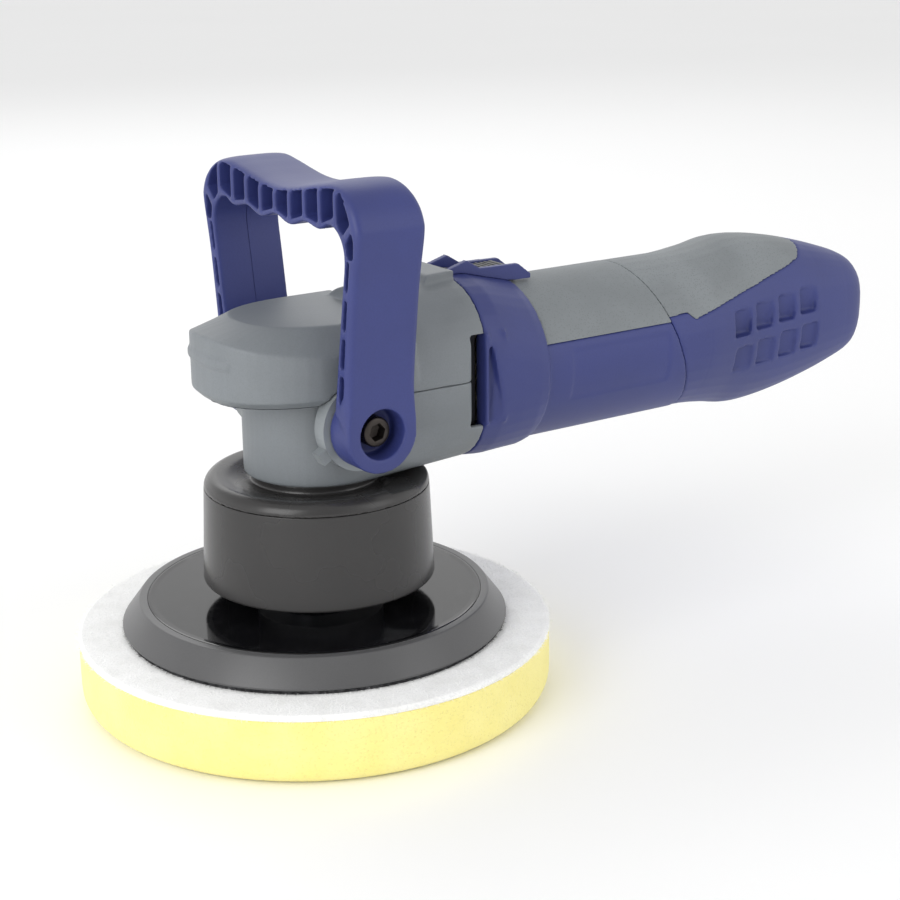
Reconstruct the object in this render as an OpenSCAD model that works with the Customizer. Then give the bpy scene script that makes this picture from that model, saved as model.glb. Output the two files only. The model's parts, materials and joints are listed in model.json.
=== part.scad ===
// Dual action polisher: bevel gear head, counterweighted orbit drive, foam pad,
// bail handle, motor housing and two-part rear handle.
// Origin on the drive spindle's axis at the pad's working face, +X to the rear.

/* [Pad and plate] */
// Diameter of the foam pad
pad_d = 180; // [160:1:216]
// Thickness of the foam under the loop layer
pad_t = 25; // [18:0.5:36]
// Radius of the foam's lower edge
pad_edge_r = 8; // [2:0.5:12]
// Thickness of the loop layer on top of the foam
loop_t = 2; // [1:0.1:4]
// Thickness of the hook layer under the backing plate
hook_t = 1.6; // [1:0.1:3]
// Diameter of the backing plate's lower edge
plate_d = 146.6; // [122:0.2:158]
// Thickness of the backing plate
plate_t = 9.8; // [8.2:0.1:14]
// Radial width of the plate's bevelled edge
plate_bevel = 6.7; // [3:0.1:9]
// Width of the moulded rim round the glossy disc
plate_rim_w = 3.1; // [1.5:0.1:6]
// Thickness of the glossy disc
disc_t = 3; // [2:0.1:4]

/* [Orbit drive] */
// Diameter of the pad's orbit
orbit = 8; // [5:0.1:10]
// Gap between the backing plate and the counterweight
weight_gap = 5.2; // [4:0.1:8]
// Diameter of the counterweight's bearing housing
weight_d = 48; // [44:0.5:52]
// Radius of the counterweight's balance lobe
lobe_r = 37.5; // [30:0.5:38]
// Angle covered by the balance lobe
lobe_angle = 110; // [60:5:150]
// Height of the balance lobe
lobe_h = 12; // [8:0.5:14]
// Diameter of both spindles where the ball bearings sit
spindle_d = 12; // [10:0.1:13]
// Diameter of the thread that holds the backing plate
stud_d = 8; // [6:0.1:8]

/* [Ball bearings] */
// Outside diameter of the spindle bearings
bearing_d = 32; // [30:0.1:33]
// Width of the spindle bearings
bearing_w = 10; // [8:0.1:10.5]
// Number of balls in each bearing
ball_count = 8; // [6:1:9]

/* [Shroud] */
// Gap between the backing plate and the shroud
shroud_gap = 8.4; // [6:0.1:12]
// Height of the shroud up to its seam
shroud_h = 35.5; // [35:0.1:45]
// Diameter of the shroud at its lower edge
shroud_d = 87.6; // [84:0.1:96]
// Amount by which the shroud is narrower at its seam
shroud_taper = 3.2; // [0:0.1:5]
// Wall of the shroud
shroud_wall = 2.2; // [1.5:0.1:3]
// Height of the shroud's cap
cap_h = 5.2; // [4:0.1:8]

/* [Gear head] */
// Outside diameter of the head round the spindle
head_d = 54; // [53.5:0.5:62]
// Wall of the grey covers and of the motor housing
wall = 2.4; // [1.6:0.1:2.5]
// Height of the motor's axis above the bottom of the head
axis_h = 28.15; // [27.5:0.05:33.8]
// Number of teeth on the ring gear
ring_teeth = 37; // [33:2:41]
// Number of teeth on the pinion
pinion_teeth = 9; // [9:2:11]
// Pitch radius of the ring gear
ring_r = 19.6; // [17:0.1:20]
// Length of the nose in front of the spindle
nose_len = 45; // [38:0.5:54]
// Width of the nose
nose_w = 68; // [60:0.5:68]
// Distance from the spindle to the joint between head and motor housing
flange_x = 54; // [48:0.5:64]

/* [Bail handle] */
// Height of the handle's pivot below the motor's axis
pivot_drop = 4.65; // [2:0.1:8]
// Height of the grip's saddle above the pivot
grip_h = 83.3; // [72:0.1:100]
// Width over the two feet
foot_w = 95.2; // [90:0.2:110]
// Width over the widest part of the handle
bail_w = 112.6; // [106:0.2:130]
// Depth of the handle from front to back
bail_d = 24.6; // [21:0.1:28]
// Diameter of the round feet
foot_d = 28.4; // [26:0.1:32]
// Diameter of the shoulder on the pivot bolts
pivot_d = 8; // [7:0.1:9.5]
// Depth of the pockets between the ribs
pocket_depth = 9; // [4:0.5:12]

/* [Motor] */
// Outside diameter of the motor housing
motor_d = 64.2; // [63:0.1:74]
// Length of the field core
core_len = 40; // [34:1:48]
// Diameter of the armature
armature_d = 31; // [26:0.2:32]
// Outside diameter of the cooling fan
fan_d = 50; // [42:0.5:52]

/* [Rear handle] */
// Distance from the spindle to the rear end
rear_x = 269; // [250:1:320]
// Wall of the rear handle
grip_wall = 3; // [2:0.1:3.6]
// Thickness of the soft grip panels
skin_t = 1.2; // [0.8:0.1:1.6]
// Diameter of the speed dial
dial_d = 20; // [16:0.5:22]
// Bore of the cord inlet
inlet_d = 8; // [6:0.1:9]

/* [Switch] */
// Travel of the slide switch
switch_travel = 6; // [3:0.5:7]
// Length of the slide switch's button
button_len = 14; // [11.5:0.5:16]

/* [Hidden] */
$fn = 72;
tiny = 0.01;
gap = 0.3;        // between curved faces that move past each other
fit = 0.05;       // radial clearance of a running fit
seat = 0.02;      // radial clearance of a seated ring

// heights, from the pad's face upwards
loop_z = pad_t;
hook_z = loop_z + loop_t;
plate_z = hook_z + hook_t;
disc_z = plate_z + plate_t;
weight_z = disc_z + weight_gap;
pad_bearing_z = weight_z + 1.9;
bearing_space = 1;
pad_bearing_top = pad_bearing_z + 2*bearing_w + bearing_space;
nut_h = 2.6;
web_z = pad_bearing_top + nut_h + 0.6;
hub_z = web_z + 3;
hub_top = hub_z + 9.5;
shroud_z = disc_z + shroud_gap;
cap_plate_z = max(shroud_z + shroud_h + 1.7, hub_top + 1.5);
seam_z = cap_plate_z - 1.7;
head_z = seam_z + cap_h + 1;
axis_z = head_z + axis_h;
low_bearing_z = head_z + 2;
low_bearing_top = low_bearing_z + bearing_w;

// gear set, with its cone apex where the two axes cross
pinion_r = ring_r*pinion_teeth/ring_teeth;
tooth_pitch = 2*PI*ring_r/ring_teeth;
tooth_add = 0.28*tooth_pitch;
tooth_ded = 0.4*tooth_pitch;
tooth_back = 0.36*tooth_pitch;
mesh_in = 0.66;
mesh_out = 1.0;
orbit_r = orbit/2;
weight_r = weight_d/2;
spindle_r = spindle_d/2;
bearing_r = bearing_d/2;

// small bearings: inside, outside radius and width
top_brg = [4, 11, 7];
front_brg = [5, 13, 8];
rear_brg = [4, 11, 7];
top_brg_z = axis_z + 9.4;
front_brg_x = 30;

// gear head
head_r = head_d/2;
case_r = head_r - wall - 0.4;
case_in = case_r - 2.3;
case_top = top_brg_z + top_brg[2] + 3;
head_mid = axis_z + 3.6;          // centre height of the head's rear section
barrel_r = 33.6;
flange_hw = max(35, motor_d/2 + 2.9);
flange_hh = flange_hw + 0.5;
nose_half = nose_w/2;
ledge_z = axis_z + 3.4;
edge_z = axis_z + 6.8;
rim_z = axis_z + 28.2;
rim_drop = 6.5;
plateau_z = axis_z + 31.7;
nose_back = 6;
boss_r = 12.4;
ring_boss_r = 16.4;
foot_in = nose_half + 0.5;
pivot_z = axis_z - pivot_drop;

// bail handle
foot_out = foot_w/2;
bail_half = bail_w/2;
saddle_z = pivot_z + grip_h;
crest_rise = 5.2;
grip_thick = 11.8;
rib_pitch = 10.41*bail_w/112.6;
rib_t = 1.9;
skin = 2.2;
head_recess = 4;
bolt_head_r = 5.5;
bolt_head_h = 6;
recess_r = 9.1;

// motor
motor_r = motor_d/2;
motor_in = motor_r - 3.2;
cuff_x = flange_x + 0.1;
cuff_len = 30.6;
cuff_end = cuff_x + cuff_len;
fan_x = flange_x + 3;
fan_len = 9;
baffle_x = fan_x + fan_len + 1;
core_x = baffle_x + 6;
core_end = core_x + core_len;
comm_x = core_end + 6;
comm_len = 13;
rear_brg_x = comm_x + comm_len + 4;
shaft_end = rear_brg_x + rear_brg[2] + 3;
seam_x = rear_brg_x + 16.3;       // handle seam where it crosses the motor's axis
seam_lean = 20.8;                 // the seam leans forward at the top
brush_x = comm_x + comm_len/2;
grip_line = axis_z + 11.4;

// rear handle sections: share of length, half width, half height, squareness
grip_start = seam_x - 24;
grip_len = rear_x - grip_start;
grip_k = motor_r/32.1;
grip_form = [[0, 32.1, 32.1, 2], [0.28, 32.1, 32.1, 2], [0.4, 30.2, 33.8, 2.1],
             [0.5, 28.4, 36.1, 2.2], [0.64, 27, 34.6, 2.3], [0.78, 25.4, 30.6, 2.4],
             [0.9, 23.2, 25.8, 2.6], [0.965, 21, 22.2, 2.8], [1, 17.6, 18.6, 2.8]];
board_x = rear_x - 69;
board_z = axis_z - 11;
dial_r = dial_d/2;
dial_x = rear_x + 1.4 - dial_r;
dial_z = axis_z + 9;
inlet_z = axis_z - 10;
clamp_x = rear_x - 20;

// slide switch
rail_x = flange_x - 1;
button_x = flange_x + 16;
stem_x = flange_x + 21.4;
stem_len = 3;
rod_z = axis_z + 25.8;
rod_end = seam_x + 24;
cowl_z = axis_z + 36.2;
module_x = rod_end - 11;

function spow(v, p) = sign(v)*pow(abs(v), p);
function arc(cx, cy, r, a0, a1, n = 8) =
    [for (i = [0:n]) let (a = a0 + (a1 - a0)*i/n) [cx + r*cos(a), cy + r*sin(a)]];
// closed ring of points in a plane across X, for a loft
function ring(x, ry, rz, zc, e, n = 40) =
    [for (i = [0:n - 1]) let (a = 360*i/n)
        [x, ry*spow(cos(a), 2/e), zc + rz*spow(sin(a), 2/e)]];
// outline of the nose seen from above, at one height per point
function nose_ring(reach, half, e, z, drop, tail, n = 28) =
    concat([for (i = [0:n]) let (t = -90 + 180*i/n, y = half*spow(sin(t), 2/e))
               [nose_back - (reach + nose_back)*pow(abs(cos(t)), 2/e), y,
                z - drop*pow(y/half, 2)]],
           [[tail, half, z - drop], [tail, -half, z - drop]]);
// height of the grip's top and underside at y
function grip_top(y) = saddle_z + crest_rise*(1 - cos(180*min(1, abs(y)/(0.75*bail_half))))/2;
function grip_under(y) =
    saddle_z - grip_thick + 2.4*pow(min(1, abs(y)/(0.64*bail_half)), 4)
    + 0.9*cos(360*y/(2*rib_pitch));
// half width of the handle's legs, inside and outside, at height z
function leg_in(z) = foot_in + 2.4 + 0.16*(z - pivot_z);
function leg_out(z) = foot_out + (bail_half - foot_out)*pow(max(0, z - pivot_z - 14)/64, 1.25);
// one smooth point between four neighbours
function blend(a, b, c, d, t) =
    0.5*(2*b + (c - a)*t + (2*a - 5*b + 4*c - d)*t*t + (3*b - a - 3*c + d)*t*t*t);
function smooth(p, n = 5) =
    concat([for (i = [1:len(p) - 3]) for (k = [0:n - 1])
        blend(p[i - 1], p[i], p[i + 1], p[i + 2], k/n)], [p[len(p) - 2]]);

// skin through rings that run along +X
module loft(rings) {
    n = len(rings[0]);
    m = len(rings);
    polyhedron(
        points = [for (r = rings) for (p = r) p],
        faces = concat(
            [[for (i = [0:n - 1]) i]],
            [[for (i = [n - 1:-1:0]) (m - 1)*n + i]],
            [for (k = [0:m - 2]) for (i = [0:n - 1]) let (j = (i + 1)%n)
                [k*n + i, (k + 1)*n + i, (k + 1)*n + j, k*n + j]]),
        convexity = 6);
}

// skin through rings that run up +Z, each drawn clockwise from above
module rise(rings) {
    n = len(rings[0]);
    m = len(rings);
    polyhedron(
        points = [for (r = rings) for (p = r) p],
        faces = concat(
            [[for (i = [n - 1:-1:0]) i]],
            [[for (i = [0:n - 1]) (m - 1)*n + i]],
            [for (k = [0:m - 2]) for (i = [0:n - 1]) let (j = (i + 1)%n)
                [k*n + j, (k + 1)*n + j, (k + 1)*n + i, k*n + i]]),
        convexity = 6);
}

// six-sided wedge between two sections of four points each, in triangles
module wedge(a, b) polyhedron(
    points = concat(a, b),
    faces = [[0, 1, 2], [0, 2, 3], [6, 5, 4], [7, 6, 4],
             [0, 4, 5], [0, 5, 1], [1, 5, 6], [1, 6, 2],
             [2, 6, 7], [2, 7, 3], [3, 7, 4], [3, 4, 0]]);

module cyl_x(r, x0, x1, y = 0, z = axis_z) {
    translate([x0, y, z]) rotate([0, 90, 0]) cylinder(r = r, h = x1 - x0);
}

module tube_x(r_out, r_in, x0, x1) {
    difference() {
        cyl_x(r_out, x0, x1);
        cyl_x(r_in, x0 - 1, x1 + 1);
    }
}

module cyl_y(r, y0, y1, x = 0, z = pivot_z) {
    translate([x, y0, z]) rotate([-90, 0, 0]) cylinder(r = r, h = y1 - y0);
}

module tube_z(r_out, r_in, z0, z1) {
    translate([0, 0, z0]) difference() {
        cylinder(r = r_out, h = z1 - z0);
        translate([0, 0, -1]) cylinder(r = r_in, h = z1 - z0 + 2);
    }
}

// box from its two corners
module block(a, b) {
    translate(a) cube(b - a);
}

// outline in XZ, extruded from y0 to y1
module slab_y(points, y0, y1) {
    translate([0, y1, 0]) rotate([90, 0, 0]) linear_extrude(y1 - y0) polygon(points);
}

// outline in YZ, extruded from x0 to x1
module slab_x(points, x0, x1) {
    translate([x0, 0, 0]) rotate([90, 0, 90]) linear_extrude(x1 - x0) polygon(points);
}

module both_sides() {
    children();
    mirror([0, 1, 0]) children();
}

// everything behind the leaning seam of the rear handle
module behind_seam(shift = 0) {
    translate([seam_x + shift, 0, axis_z]) rotate([0, -seam_lean, 0])
        translate([0, -100, -100]) cube([400, 200, 200]);
}

// ---- pad and plate, on the orbiting axis ----
module on_orbit() {
    translate([0, orbit_r, 0]) children();
}

module pad_foam() color("khaki") on_orbit() rotate_extrude($fn = 120)
    polygon(concat([[0, 0]],
                   arc(pad_d/2 - pad_edge_r, pad_edge_r, pad_edge_r, -90, 0),
                   [[pad_d/2, pad_t], [0, pad_t]]));

module pad_loop() color("white") on_orbit() rotate_extrude($fn = 120)
    polygon([[0, loop_z], [pad_d/2, loop_z], [pad_d/2, hook_z - 0.8],
             [pad_d/2 - 0.8, hook_z], [0, hook_z]]);

module hook_disc() color("dimgray") on_orbit()
    translate([0, 0, hook_z]) cylinder(d = plate_d - 1.8, h = hook_t);

hub_r = 14;
hub_flange_r = 24;
hub_flange_t = 3;
module plate_rim() color("dimgray") on_orbit() rotate_extrude()
    polygon([[hub_flange_r, plate_z], [plate_d/2, plate_z], [plate_d/2, plate_z + 0.8],
             [plate_d/2 - plate_bevel, disc_z],
             [plate_d/2 - plate_bevel - plate_rim_w, disc_z],
             [plate_d/2 - plate_bevel - plate_rim_w, disc_z - disc_t],
             [hub_r, disc_z - disc_t], [hub_r, plate_z + hub_flange_t],
             [hub_flange_r, plate_z + hub_flange_t]]);

module plate_disc() color("black") on_orbit()
    tube_z(plate_d/2 - plate_bevel - plate_rim_w, hub_r + 0.05, disc_z - disc_t, disc_z);

hub_face = disc_z + 0.6;
module plate_hub() color("silver") on_orbit() difference() {
    union() {
        translate([0, 0, plate_z]) cylinder(r = hub_flange_r, h = hub_flange_t);
        translate([0, 0, plate_z]) cylinder(r = hub_r, h = hub_face - plate_z);
    }
    translate([0, 0, plate_z - 1]) cylinder(d = stud_d + 2*fit, h = plate_t + 4);
    translate([0, 0, plate_z - 1]) cylinder(r = 7.6, h = 6.2);
}

stud_top = pad_bearing_z + bearing_w;
module plate_bolt() color("gray") on_orbit() {
    translate([0, 0, plate_z + 0.1]) cylinder(r = 7.4, h = 5.1, $fn = 6);
    translate([0, 0, plate_z + 5]) cylinder(d = stud_d, h = stud_top - plate_z - 5);
}

module pad_spindle() color("silver") on_orbit() difference() {
    rotate_extrude() polygon([
        [stud_d/2 + fit, hub_face], [11, hub_face], [11, weight_z - 0.7],
        [8, weight_z - 0.7], [8, pad_bearing_z], [spindle_r - seat, pad_bearing_z],
        [spindle_r - seat, pad_bearing_top], [4.6, pad_bearing_top],
        [4.6, pad_bearing_top + nut_h], [0, pad_bearing_top + nut_h],
        [0, stud_top + 1], [stud_d/2 + fit, stud_top + 1]]);
    for (s = [-1, 1])
        translate([s*14.5 - 5, -15, hub_face + 0.8]) cube([10, 30, weight_gap - 2.7]);
}

module spindle_nut() color("gray") on_orbit() difference() {
    translate([0, 0, pad_bearing_top]) cylinder(r = 8, h = nut_h - 0.1, $fn = 6);
    translate([0, 0, pad_bearing_top - 1]) cylinder(r = 4.6 + seat, h = nut_h + 2);
}

// the two pad bearings share these three modules with the spindle's lower one
race_in = spindle_r + 2.6;
race_out = bearing_r - 2.5;
module outer_race(z) {
    tube_z(bearing_r - seat, race_out, z, z + bearing_w);
}

module inner_race(z) {
    tube_z(race_in, spindle_r, z, z + bearing_w);
}

module ball_set(z) {
    ball_r = (race_out - gap - race_in)/2;
    for (i = [0:ball_count - 1]) rotate(360*i/ball_count)
        translate([race_in + ball_r, 0, z + bearing_w/2]) sphere(r = ball_r, $fn = 24);
}

module pad_bearing_outers() color("silver") on_orbit() for (i = [0, 1])
    outer_race(pad_bearing_z + i*(bearing_w + bearing_space));

module pad_bearing_inners() color("silver") on_orbit() for (i = [0, 1])
    inner_race(pad_bearing_z + i*(bearing_w + bearing_space));

module pad_bearing_balls() color("gray") on_orbit() for (i = [0, 1])
    ball_set(pad_bearing_z + i*(bearing_w + bearing_space));

circlip_t = 1.2;
module bearing_circlip() color("gray") on_orbit()
    translate([0, 0, pad_bearing_z - circlip_t]) difference() {
        cylinder(r = bearing_r + 0.8, h = circlip_t);
        translate([0, 0, -1]) cylinder(r = bearing_r - 2, h = 4);
        translate([-4, 0, -1]) cube([8, 30, 4]);
    }

// ---- counterweight and drive spindle ----
lobe_z = pad_bearing_top - lobe_h;
weight_hub_r = 13;
module counterweight() color("slategray") difference() {
    union() {
        translate([0, 0, weight_z]) cylinder(r = weight_r, h = hub_z - weight_z);
        translate([0, 0, lobe_z]) rotate(-90 - lobe_angle/2)
            rotate_extrude(angle = lobe_angle)
                polygon([[weight_r - 6, 0], [lobe_r, 0], [lobe_r, lobe_h], [weight_r - 6, lobe_h]]);
        translate([0, 0, web_z]) cylinder(r = weight_hub_r, h = hub_top - web_z);
    }
    on_orbit() {
        translate([0, 0, weight_z - 1]) cylinder(r = bearing_r, h = pad_bearing_top - weight_z + 1);
        translate([0, 0, pad_bearing_z - circlip_t - 0.1])
            cylinder(r = bearing_r + 0.9, h = circlip_t + 0.1);
        translate([0, 0, pad_bearing_top - 1]) cylinder(r = 9.5, h = web_z - pad_bearing_top + 1);
    }
    translate([0, 0, hub_z]) cylinder(r = spindle_r, h = 20);
}

collar_r = spindle_r + 1.6;
module drive_spindle() color("silver") rotate_extrude() polygon([
    [0, hub_z], [spindle_r - seat, hub_z], [spindle_r - seat, hub_top],
    [collar_r, hub_top], [collar_r, low_bearing_z], [spindle_r - seat, low_bearing_z],
    [spindle_r - seat, axis_z - 5.9], [5.2, axis_z - 5.9], [5.2, top_brg_z],
    [top_brg[0] - seat, top_brg_z], [top_brg[0] - seat, top_brg_z + top_brg[2]],
    [0, top_brg_z + top_brg[2]]]);

// point on the ring gear's cone: r along the pitch line, rise off it
function cone_r(s, up) = s*(ring_r - up*sin(atan(pinion_r/ring_r)));
function cone_z(s, up) = s*(-pinion_r + up*cos(atan(pinion_r/ring_r)));

module ring_gear() color("darkgray") difference() {
    translate([0, 0, axis_z]) rotate_extrude() polygon([
        [spindle_r, low_bearing_top - axis_z + 0.3], [10, low_bearing_top - axis_z + 0.3],
        [cone_r(1, -tooth_ded - 2.6) - 3, cone_z(1, -tooth_ded - 2.6)],
        [cone_r(1, -tooth_ded - 2.6), cone_z(1, -tooth_ded - 2.6)],
        [cone_r(1, tooth_add), cone_z(1, tooth_add)],
        [cone_r(mesh_in, tooth_add), cone_z(mesh_in, tooth_add)],
        [cone_r(mesh_in, -tooth_ded - 1.2), cone_z(mesh_in, -tooth_ded - 1.2)],
        [spindle_r, cone_z(mesh_in, -tooth_ded - 1.2)]]);
    for (i = [0:ring_teeth - 1]) rotate(360*i/ring_teeth) ring_slot();
}

// tapered gap between two ring teeth, pointing along +X
module ring_slot() {
    wide = tooth_pitch/4 + tooth_back/4;
    function section(s) = [for (p = [[tooth_add*1.7, -1], [-tooth_ded, -1],
                                     [-tooth_ded, 1], [tooth_add*1.7, 1]])
        [cone_r(s, p[0]), p[1]*s*(wide + p[0]*tan(20)), axis_z + cone_z(s, p[0])]];
    wedge(section(mesh_in*0.9), section(1.08));
}

module pinion() color("darkgray") difference() {
    union() {
        translate([0, 0, axis_z]) loft([pinion_ring(mesh_in), pinion_ring(1.045)]);
        cyl_x(pinion_r + tooth_add + 0.5, ring_r + 0.8, 27.5);
    }
    cyl_x(nose_r + fit/2, ring_r + 1.4, 30);
}

// outline of the pinion at one share of its cone, one tooth pointing down
function pinion_ring(s) =
    let (half = tooth_pitch/4 - tooth_back/4, tip = pinion_r + tooth_add, root = pinion_r - tooth_ded,
         tip_a = asin((half - tooth_add*tan(20))/tip), root_a = asin((half + tooth_ded*tan(20))/root))
    [for (i = [0:pinion_teeth - 1]) let (a = -90 + 360*i/pinion_teeth)
        for (p = [[root, -root_a], [pinion_r, -asin(half/pinion_r)], [tip, -tip_a],
                  [tip, tip_a], [pinion_r, asin(half/pinion_r)], [root, root_a]])
            [s*ring_r, s*p[0]*cos(a + p[1]), s*p[0]*sin(a + p[1])]];

nose_r = 3;
module armature_shaft() color("silver") {
    cyl_x(nose_r, ring_r + 1.6, front_brg_x - 1);
    cyl_x(front_brg[0] + 1.2, front_brg_x - 2.4, front_brg_x);
    cyl_x(front_brg[0] - seat, front_brg_x - 0.5, comm_x + comm_len + 1);
    cyl_x(rear_brg[0] - seat, comm_x, shaft_end - 1);
}

// one small bearing in three pieces, axis along +Z from z = 0
module small_outer(b) tube_z(b[1] - seat, b[1] - 1.9, 0, b[2]);
module small_inner(b) tube_z(b[0] + 1.9, b[0], 0, b[2]);
module small_balls(b) {
    ball_r = (b[1] - 1.9 - gap - b[0] - 1.9)/2;
    for (i = [0:ball_count - 1]) rotate(360*i/ball_count)
        translate([b[0] + 1.9 + ball_r, 0, b[2]/2]) sphere(r = ball_r, $fn = 24);
}

module at_top_brg() translate([0, 0, top_brg_z]) children();
module at_motor_brg(x) translate([x, 0, axis_z]) rotate([0, 90, 0]) children();

module spindle_bearing_outers() color("silver") {
    outer_race(low_bearing_z);
    at_top_brg() small_outer(top_brg);
}

module spindle_bearing_inners() color("silver") {
    inner_race(low_bearing_z);
    at_top_brg() small_inner(top_brg);
}

module spindle_bearing_balls() color("gray") {
    ball_set(low_bearing_z);
    at_top_brg() small_balls(top_brg);
}

module motor_bearing_outers() color("silver") {
    at_motor_brg(front_brg_x) small_outer(front_brg);
    at_motor_brg(rear_brg_x) small_outer(rear_brg);
}

module motor_bearing_inners() color("silver") {
    at_motor_brg(front_brg_x) small_inner(front_brg);
    at_motor_brg(rear_brg_x) small_inner(rear_brg);
}

module motor_bearing_balls() color("gray") {
    at_motor_brg(front_brg_x) small_balls(front_brg);
    at_motor_brg(rear_brg_x) small_balls(rear_brg);
}

module spindle_seal() color("black")
    tube_z(13, collar_r + gap, head_z + 0.1, low_bearing_z - 0.1);

// ---- gear head ----
cap_screw_r = case_r - 3.4;
neck_drop = head_z - head_mid + flange_hh;
cap_screw_d = 3;
case_screw_pos = [for (s = [-1, 1]) for (t = [-1, 1])
    [s*(flange_hw - 12.5), t*(flange_hh - 12.4) + head_mid - axis_z]];
module gear_case() color("lightgray") difference() {
    union() {
        translate([0, 0, head_z]) cylinder(r = case_r, h = case_top - head_z);
        cyl_x(17, 0, flange_x);
        intersection() {
            cyl_x(flange_hw - 0.4, flange_x - 5, flange_x, 0, head_mid);
            block([flange_x - 5, 8 - flange_hw, head_mid + 8 - flange_hh],
                  [flange_x, flange_hw - 8, head_mid - 8 + flange_hh]);
        }
        both_sides() cyl_y(boss_r, 0, nose_half - 4);
        both_sides() cyl_y(ring_boss_r, nose_half - 6, foot_in - gap);
        mirror([0, 1, 0]) translate([0, 0, pivot_z]) rotate([0, -30, 0])
            block([-ring_boss_r - 3.4, nose_half - 5, -2.4], [-ring_boss_r + 2, foot_in - 0.8, 2.4]);
    }
    // gear chamber, with the seats of both spindle bearings
    translate([0, 0, low_bearing_top]) cylinder(r = case_in, h = axis_z + 6.6 - low_bearing_top);
    translate([0, 0, low_bearing_z]) cylinder(r = bearing_r, h = bearing_w + 1);
    translate([0, 0, head_z - 1]) cylinder(r = 13, h = 5);
    translate([0, 0, axis_z + 6]) cylinder(r = 9, h = top_brg_z - axis_z - 5);
    translate([0, 0, top_brg_z]) cylinder(r = top_brg[1], h = top_brg[2] + 0.4);
    // pinion clearance, front motor bearing, air funnel
    cyl_x(8, 5, front_brg_x + 1);
    cyl_x(front_brg[1], front_brg_x, flange_x + 1);
    for (s = [-1, 1])
        block([flange_x - 6, min(s*19, s*40), axis_z - 15.3], [flange_x + 1, max(s*19, s*40), axis_z + 22.5]);
    both_sides() cyl_y(pivot_thread_r + fit, nose_half - 13, foot_in + 1);
    for (a = [45:90:315]) rotate(a)
        translate([cap_screw_r, 0, head_z - 1]) cylinder(r = cap_screw_d/2 + fit, h = 10);
    for (p = case_screw_pos) cyl_x(2.1, flange_x - 6, flange_x + 1, p[0], axis_z + p[1]);
}

module nose_form(g) rise([
    nose_ring(nose_len - 3.5 - g, nose_half - 3.5 - g, 2.3, ledge_z + 0.9*g, 0, 24),
    nose_ring(nose_len - g, nose_half - g, 2.5, edge_z + 0.6*g, 0, 24),
    nose_ring(nose_len - g, nose_half - g, 2.5, rim_z - g, rim_drop, 24),
    nose_ring(nose_len - 14.5 - g, nose_half - 8 - g, 2.35, plateau_z - g, 0.4, 24)]);

module head_form(g) {
    over = g > 0 ? 2 : 0;
    hull() {
        translate([0, 0, head_z - over])
            cylinder(r = head_r - g, h = ledge_z - head_z + 3.5*over + 1, $fn = 48);
        intersection() {
            loft([ring(flange_x - 4, flange_hw - g, flange_hh - g, head_mid, 2.6),
                  ring(flange_x + over, flange_hw - g, flange_hh - g, head_mid, 2.6)]);
            block([0, -80, 0], [200, 80, head_mid]);
        }
    }
    hull() {
        cyl_x(barrel_r - g, 18 + g, 20 + g, 0, head_mid);
        loft([ring(flange_x - 4, flange_hw - g, flange_hh - g, head_mid, 2.6),
              ring(flange_x + over, flange_hw - g, flange_hh - g, head_mid, 2.6)]);
    }
    nose_form(g);
}

deck_half = 13;
module head_shell() difference() {
    union() {
        head_form(0);
        slab_y([[flange_x - 18, axis_z + 30], [flange_x - 11.5, cowl_z + 4.8],
                [flange_x, cowl_z + 5.2], [flange_x, axis_z + 30]], -deck_half, deck_half);
    }
    head_form(wall);
    both_sides() cyl_y(ring_boss_r + gap, nose_half - 8, 60);
    both_sides() cyl_y(boss_r + gap, 0, 60);
    // lug of the boss and the air vent at the rear edge
    mirror([0, 1, 0]) translate([0, 0, pivot_z]) rotate([0, -30, 0])
        block([-ring_boss_r - 3.9, nose_half - 6, -2.9], [-ring_boss_r + 2, 60, 2.9]);
    both_sides() block([flange_x - 6, 24, axis_z - 14], [flange_x + 3, 60, axis_z + 21]);
}

split_z = ledge_z + 0.6;
module head_cover() color("gray") difference() {
    head_shell();
    block([-80, -80, 0], [200, 80, split_z]);
}

module head_skirt() color("gray") difference() {
    head_shell();
    block([-80, -80, split_z - 0.05], [200, 80, split_z + 100]);
    translate([0, 0, head_z - 8]) cylinder(r = head_r - wall, h = 14);
    both_sides() translate([flange_x - 26, flange_hw - 4.4, head_z - 2]) rotate([0, -32, 0])
        cube([4.6, 8, 26]);
}

module shroud() color("dimgray") rotate_extrude() polygon([
    [shroud_d/2 - shroud_wall, shroud_z], [shroud_d/2, shroud_z],
    [(shroud_d - shroud_taper)/2, seam_z],
    [(shroud_d - shroud_taper)/2 - shroud_wall, seam_z]]);

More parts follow.
